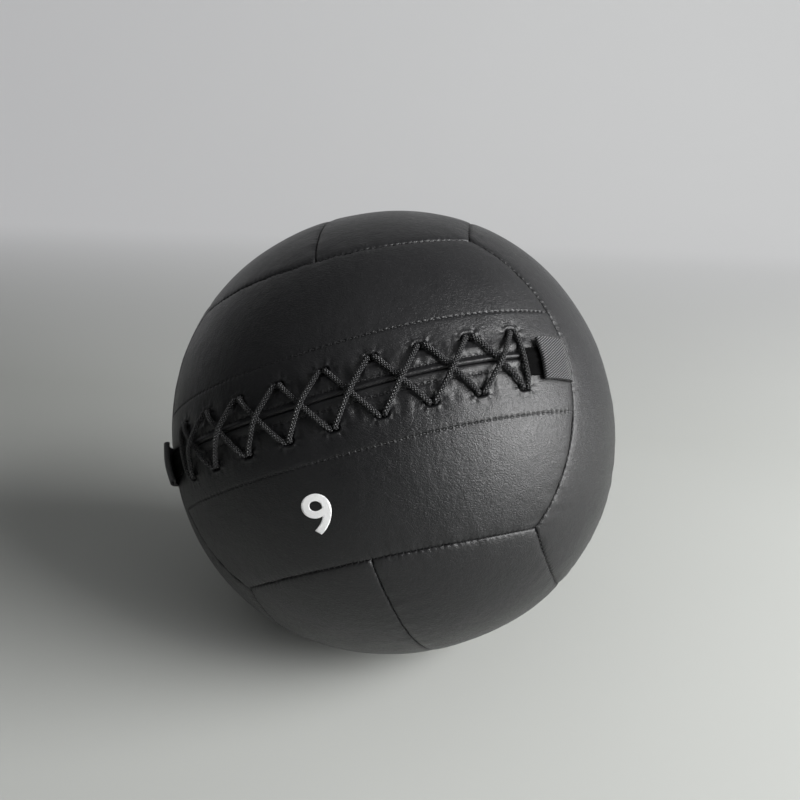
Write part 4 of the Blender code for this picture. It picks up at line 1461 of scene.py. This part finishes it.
class PrintNumeral(bpy.types.Operator):
    """Print the weight in kilograms"""

    bl_idname = "wall_ball.print_numeral"
    bl_label = "Print numeral"

    def execute(self, context):
        looks = context.scene.wall_ball
        printed_numeral(looks, shared_finish("White print", print_finish, looks))
        return {"FINISHED"}


class LineSlit(bpy.types.Operator):
    """Line both lips of the slit with nylon facings"""

    bl_idname = "wall_ball.line_slit"
    bl_label = "Line slit"

    def execute(self, context):
        looks = context.scene.wall_ball
        weave = (0.008, 0.008, 0.009), (0.03, 0.03, 0.032), 0.0006, 0.6
        finish = shared_finish("Black nylon", woven_finish, *weave)
        for side in (-1, 1):
            facing_strip(side, looks, finish)
        return {"FINISHED"}


class FillBall(bpy.types.Operator):
    """Put in the inner bag and its two packings of textile"""

    bl_idname = "wall_ball.fill_ball"
    bl_label = "Fill ball"

    def execute(self, context):
        weave = (0.34, 0.31, 0.25), (0.62, 0.58, 0.5), 0.0008, 0.85
        cotton_bag(shared_finish("Natural cotton", woven_finish, *weave))
        finish = shared_finish("Shredded textile", filling_finish)
        packed_filling("front", 1, finish)
        packed_filling("rear", -1, finish)
        return {"FINISHED"}


class TieSack(bpy.types.Operator):
    """Fill the weight's sack with grit and tie its neck"""

    bl_idname = "wall_ball.tie_sack"
    bl_label = "Tie sack"

    def execute(self, context):
        weave = (0.2, 0.165, 0.11), (0.48, 0.42, 0.3), 0.0011, 0.85
        canvas_sack(shared_finish("Canvas", woven_finish, *weave))
        steel_grit(shared_finish("Steel grit", grit_finish))
        neck_tie(shared_finish("Pale twisted cord", cord_finish))
        return {"FINISHED"}


def lay_floor(finish):
    """A pale floor that curves up into its backdrop, far behind the ball."""
    turns = np.linspace(0, math.pi / 2, 24)
    rise = BACKDROP_CURVE * (1 - np.cos(turns))
    curve = np.stack([BACKDROP_START + BACKDROP_CURVE * np.sin(turns), rise], axis=1)
    end = BACKDROP_START + BACKDROP_CURVE
    profile = np.vstack([(-FLOOR_REACH, 0.0), curve, (end, BACKDROP_TOP)])
    bm, column, row = grid(np.arange(len(profile)), (0, 1))
    aside = FLOOR_REACH * (1 - 2 * row)
    place(bm, np.stack([aside, profile[column][:, 0], profile[column][:, 1] - FLOOR_DROP], axis=1))
    bmesh.ops.recalc_face_normals(bm, faces=bm.faces)
    mesh = bpy.data.meshes.new("Floor")
    bm.to_mesh(mesh)
    bm.free()
    if mesh.polygons[0].normal.z < 0:
        mesh.flip_normals()
    mesh.shade_smooth()
    mesh.materials.append(finish)
    floor = bpy.data.objects.new("Floor", mesh)
    bpy.context.scene.collection.objects.link(floor)


def lamp(name, place_at, size, power):
    """A soft lamp that shines on the ball's middle."""
    light = bpy.data.lights.new(name, "AREA")
    light.shape = "RECTANGLE"
    light.size, light.size_y = size
    light.energy = power
    made = bpy.data.objects.new(name, light)
    made.location = place_at
    aim = Vector((0.0, 0.0, REST_HEIGHT)) - Vector(place_at)
    made.rotation_euler = aim.to_track_quat("-Z", "Y").to_euler()
    bpy.context.scene.collection.objects.link(made)


class SetStage(bpy.types.Operator):
    """Lay the floor, and set the lamps and the camera"""

    bl_idname = "wall_ball.set_stage"
    bl_label = "Set stage"

    def execute(self, context):
        stage = context.scene.wall_ball_stage
        lay_floor(floor_finish(tuple(stage.floor_colour), tuple(stage.backdrop_colour)))
        lamp("Main lamp", (2.15, -0.4, 0.95), (1.8, 1.6), stage.key_power)
        lamp("Fill lamp", (0.2, -1.0, 2.6), (3.0, 3.0), stage.fill_power)
        world = bpy.data.worlds.new("Pale room")
        world.use_nodes = True
        background = world.node_tree.nodes["Background"]
        background.inputs["Color"].default_value = (0.95, 0.97, 1.0, 1.0)
        background.inputs["Strength"].default_value = stage.sky_strength
        context.scene.world = world
        camera = bpy.data.objects.new("Camera", bpy.data.cameras.new("Camera"))
        camera.data.lens = stage.lens
        camera.data.sensor_width = 36.0
        camera.location = CAMERA_PLACE
        camera.rotation_euler = CAMERA_TURN
        context.scene.collection.objects.link(camera)
        context.scene.camera = camera
        context.scene.view_settings.view_transform = "Standard"
        return {"FINISHED"}


SEWING_STEPS = [SewPanels, StitchSeams, ThreadLace, FitEndTapes, FoldWebbingLoops, PrintNumeral, LineSlit]
STEPS = [*SEWING_STEPS, FillBall, TieSack, SetStage]


class WallBallPanel(bpy.types.Panel):
    """The wall ball's sizes, colours and steps"""

    bl_label = "Wall Ball"
    bl_idname = "VIEW3D_PT_wall_ball"
    bl_space_type = "VIEW_3D"
    bl_region_type = "UI"
    bl_category = "Wall Ball"

    def draw(self, context):
        for group in (context.scene.wall_ball, context.scene.wall_ball_stage):
            for name in type(group).__annotations__:
                self.layout.prop(group, name)
        for step in STEPS:
            self.layout.operator(step.bl_idname)


CLASSES = [WallBallLooks, WallBallStage, *STEPS, WallBallPanel]


def register():
    for made in CLASSES:
        bpy.utils.register_class(made)
    bpy.types.Scene.wall_ball = PointerProperty(type=WallBallLooks)
    bpy.types.Scene.wall_ball_stage = PointerProperty(type=WallBallStage)


def unregister():
    del bpy.types.Scene.wall_ball_stage
    del bpy.types.Scene.wall_ball
    for made in reversed(CLASSES):
        bpy.utils.unregister_class(made)


def main():
    register()
    for step in STEPS:
        area, name = step.bl_idname.split(".")
        getattr(getattr(bpy.ops, area), name)()


if __name__ == "__main__":
    main()
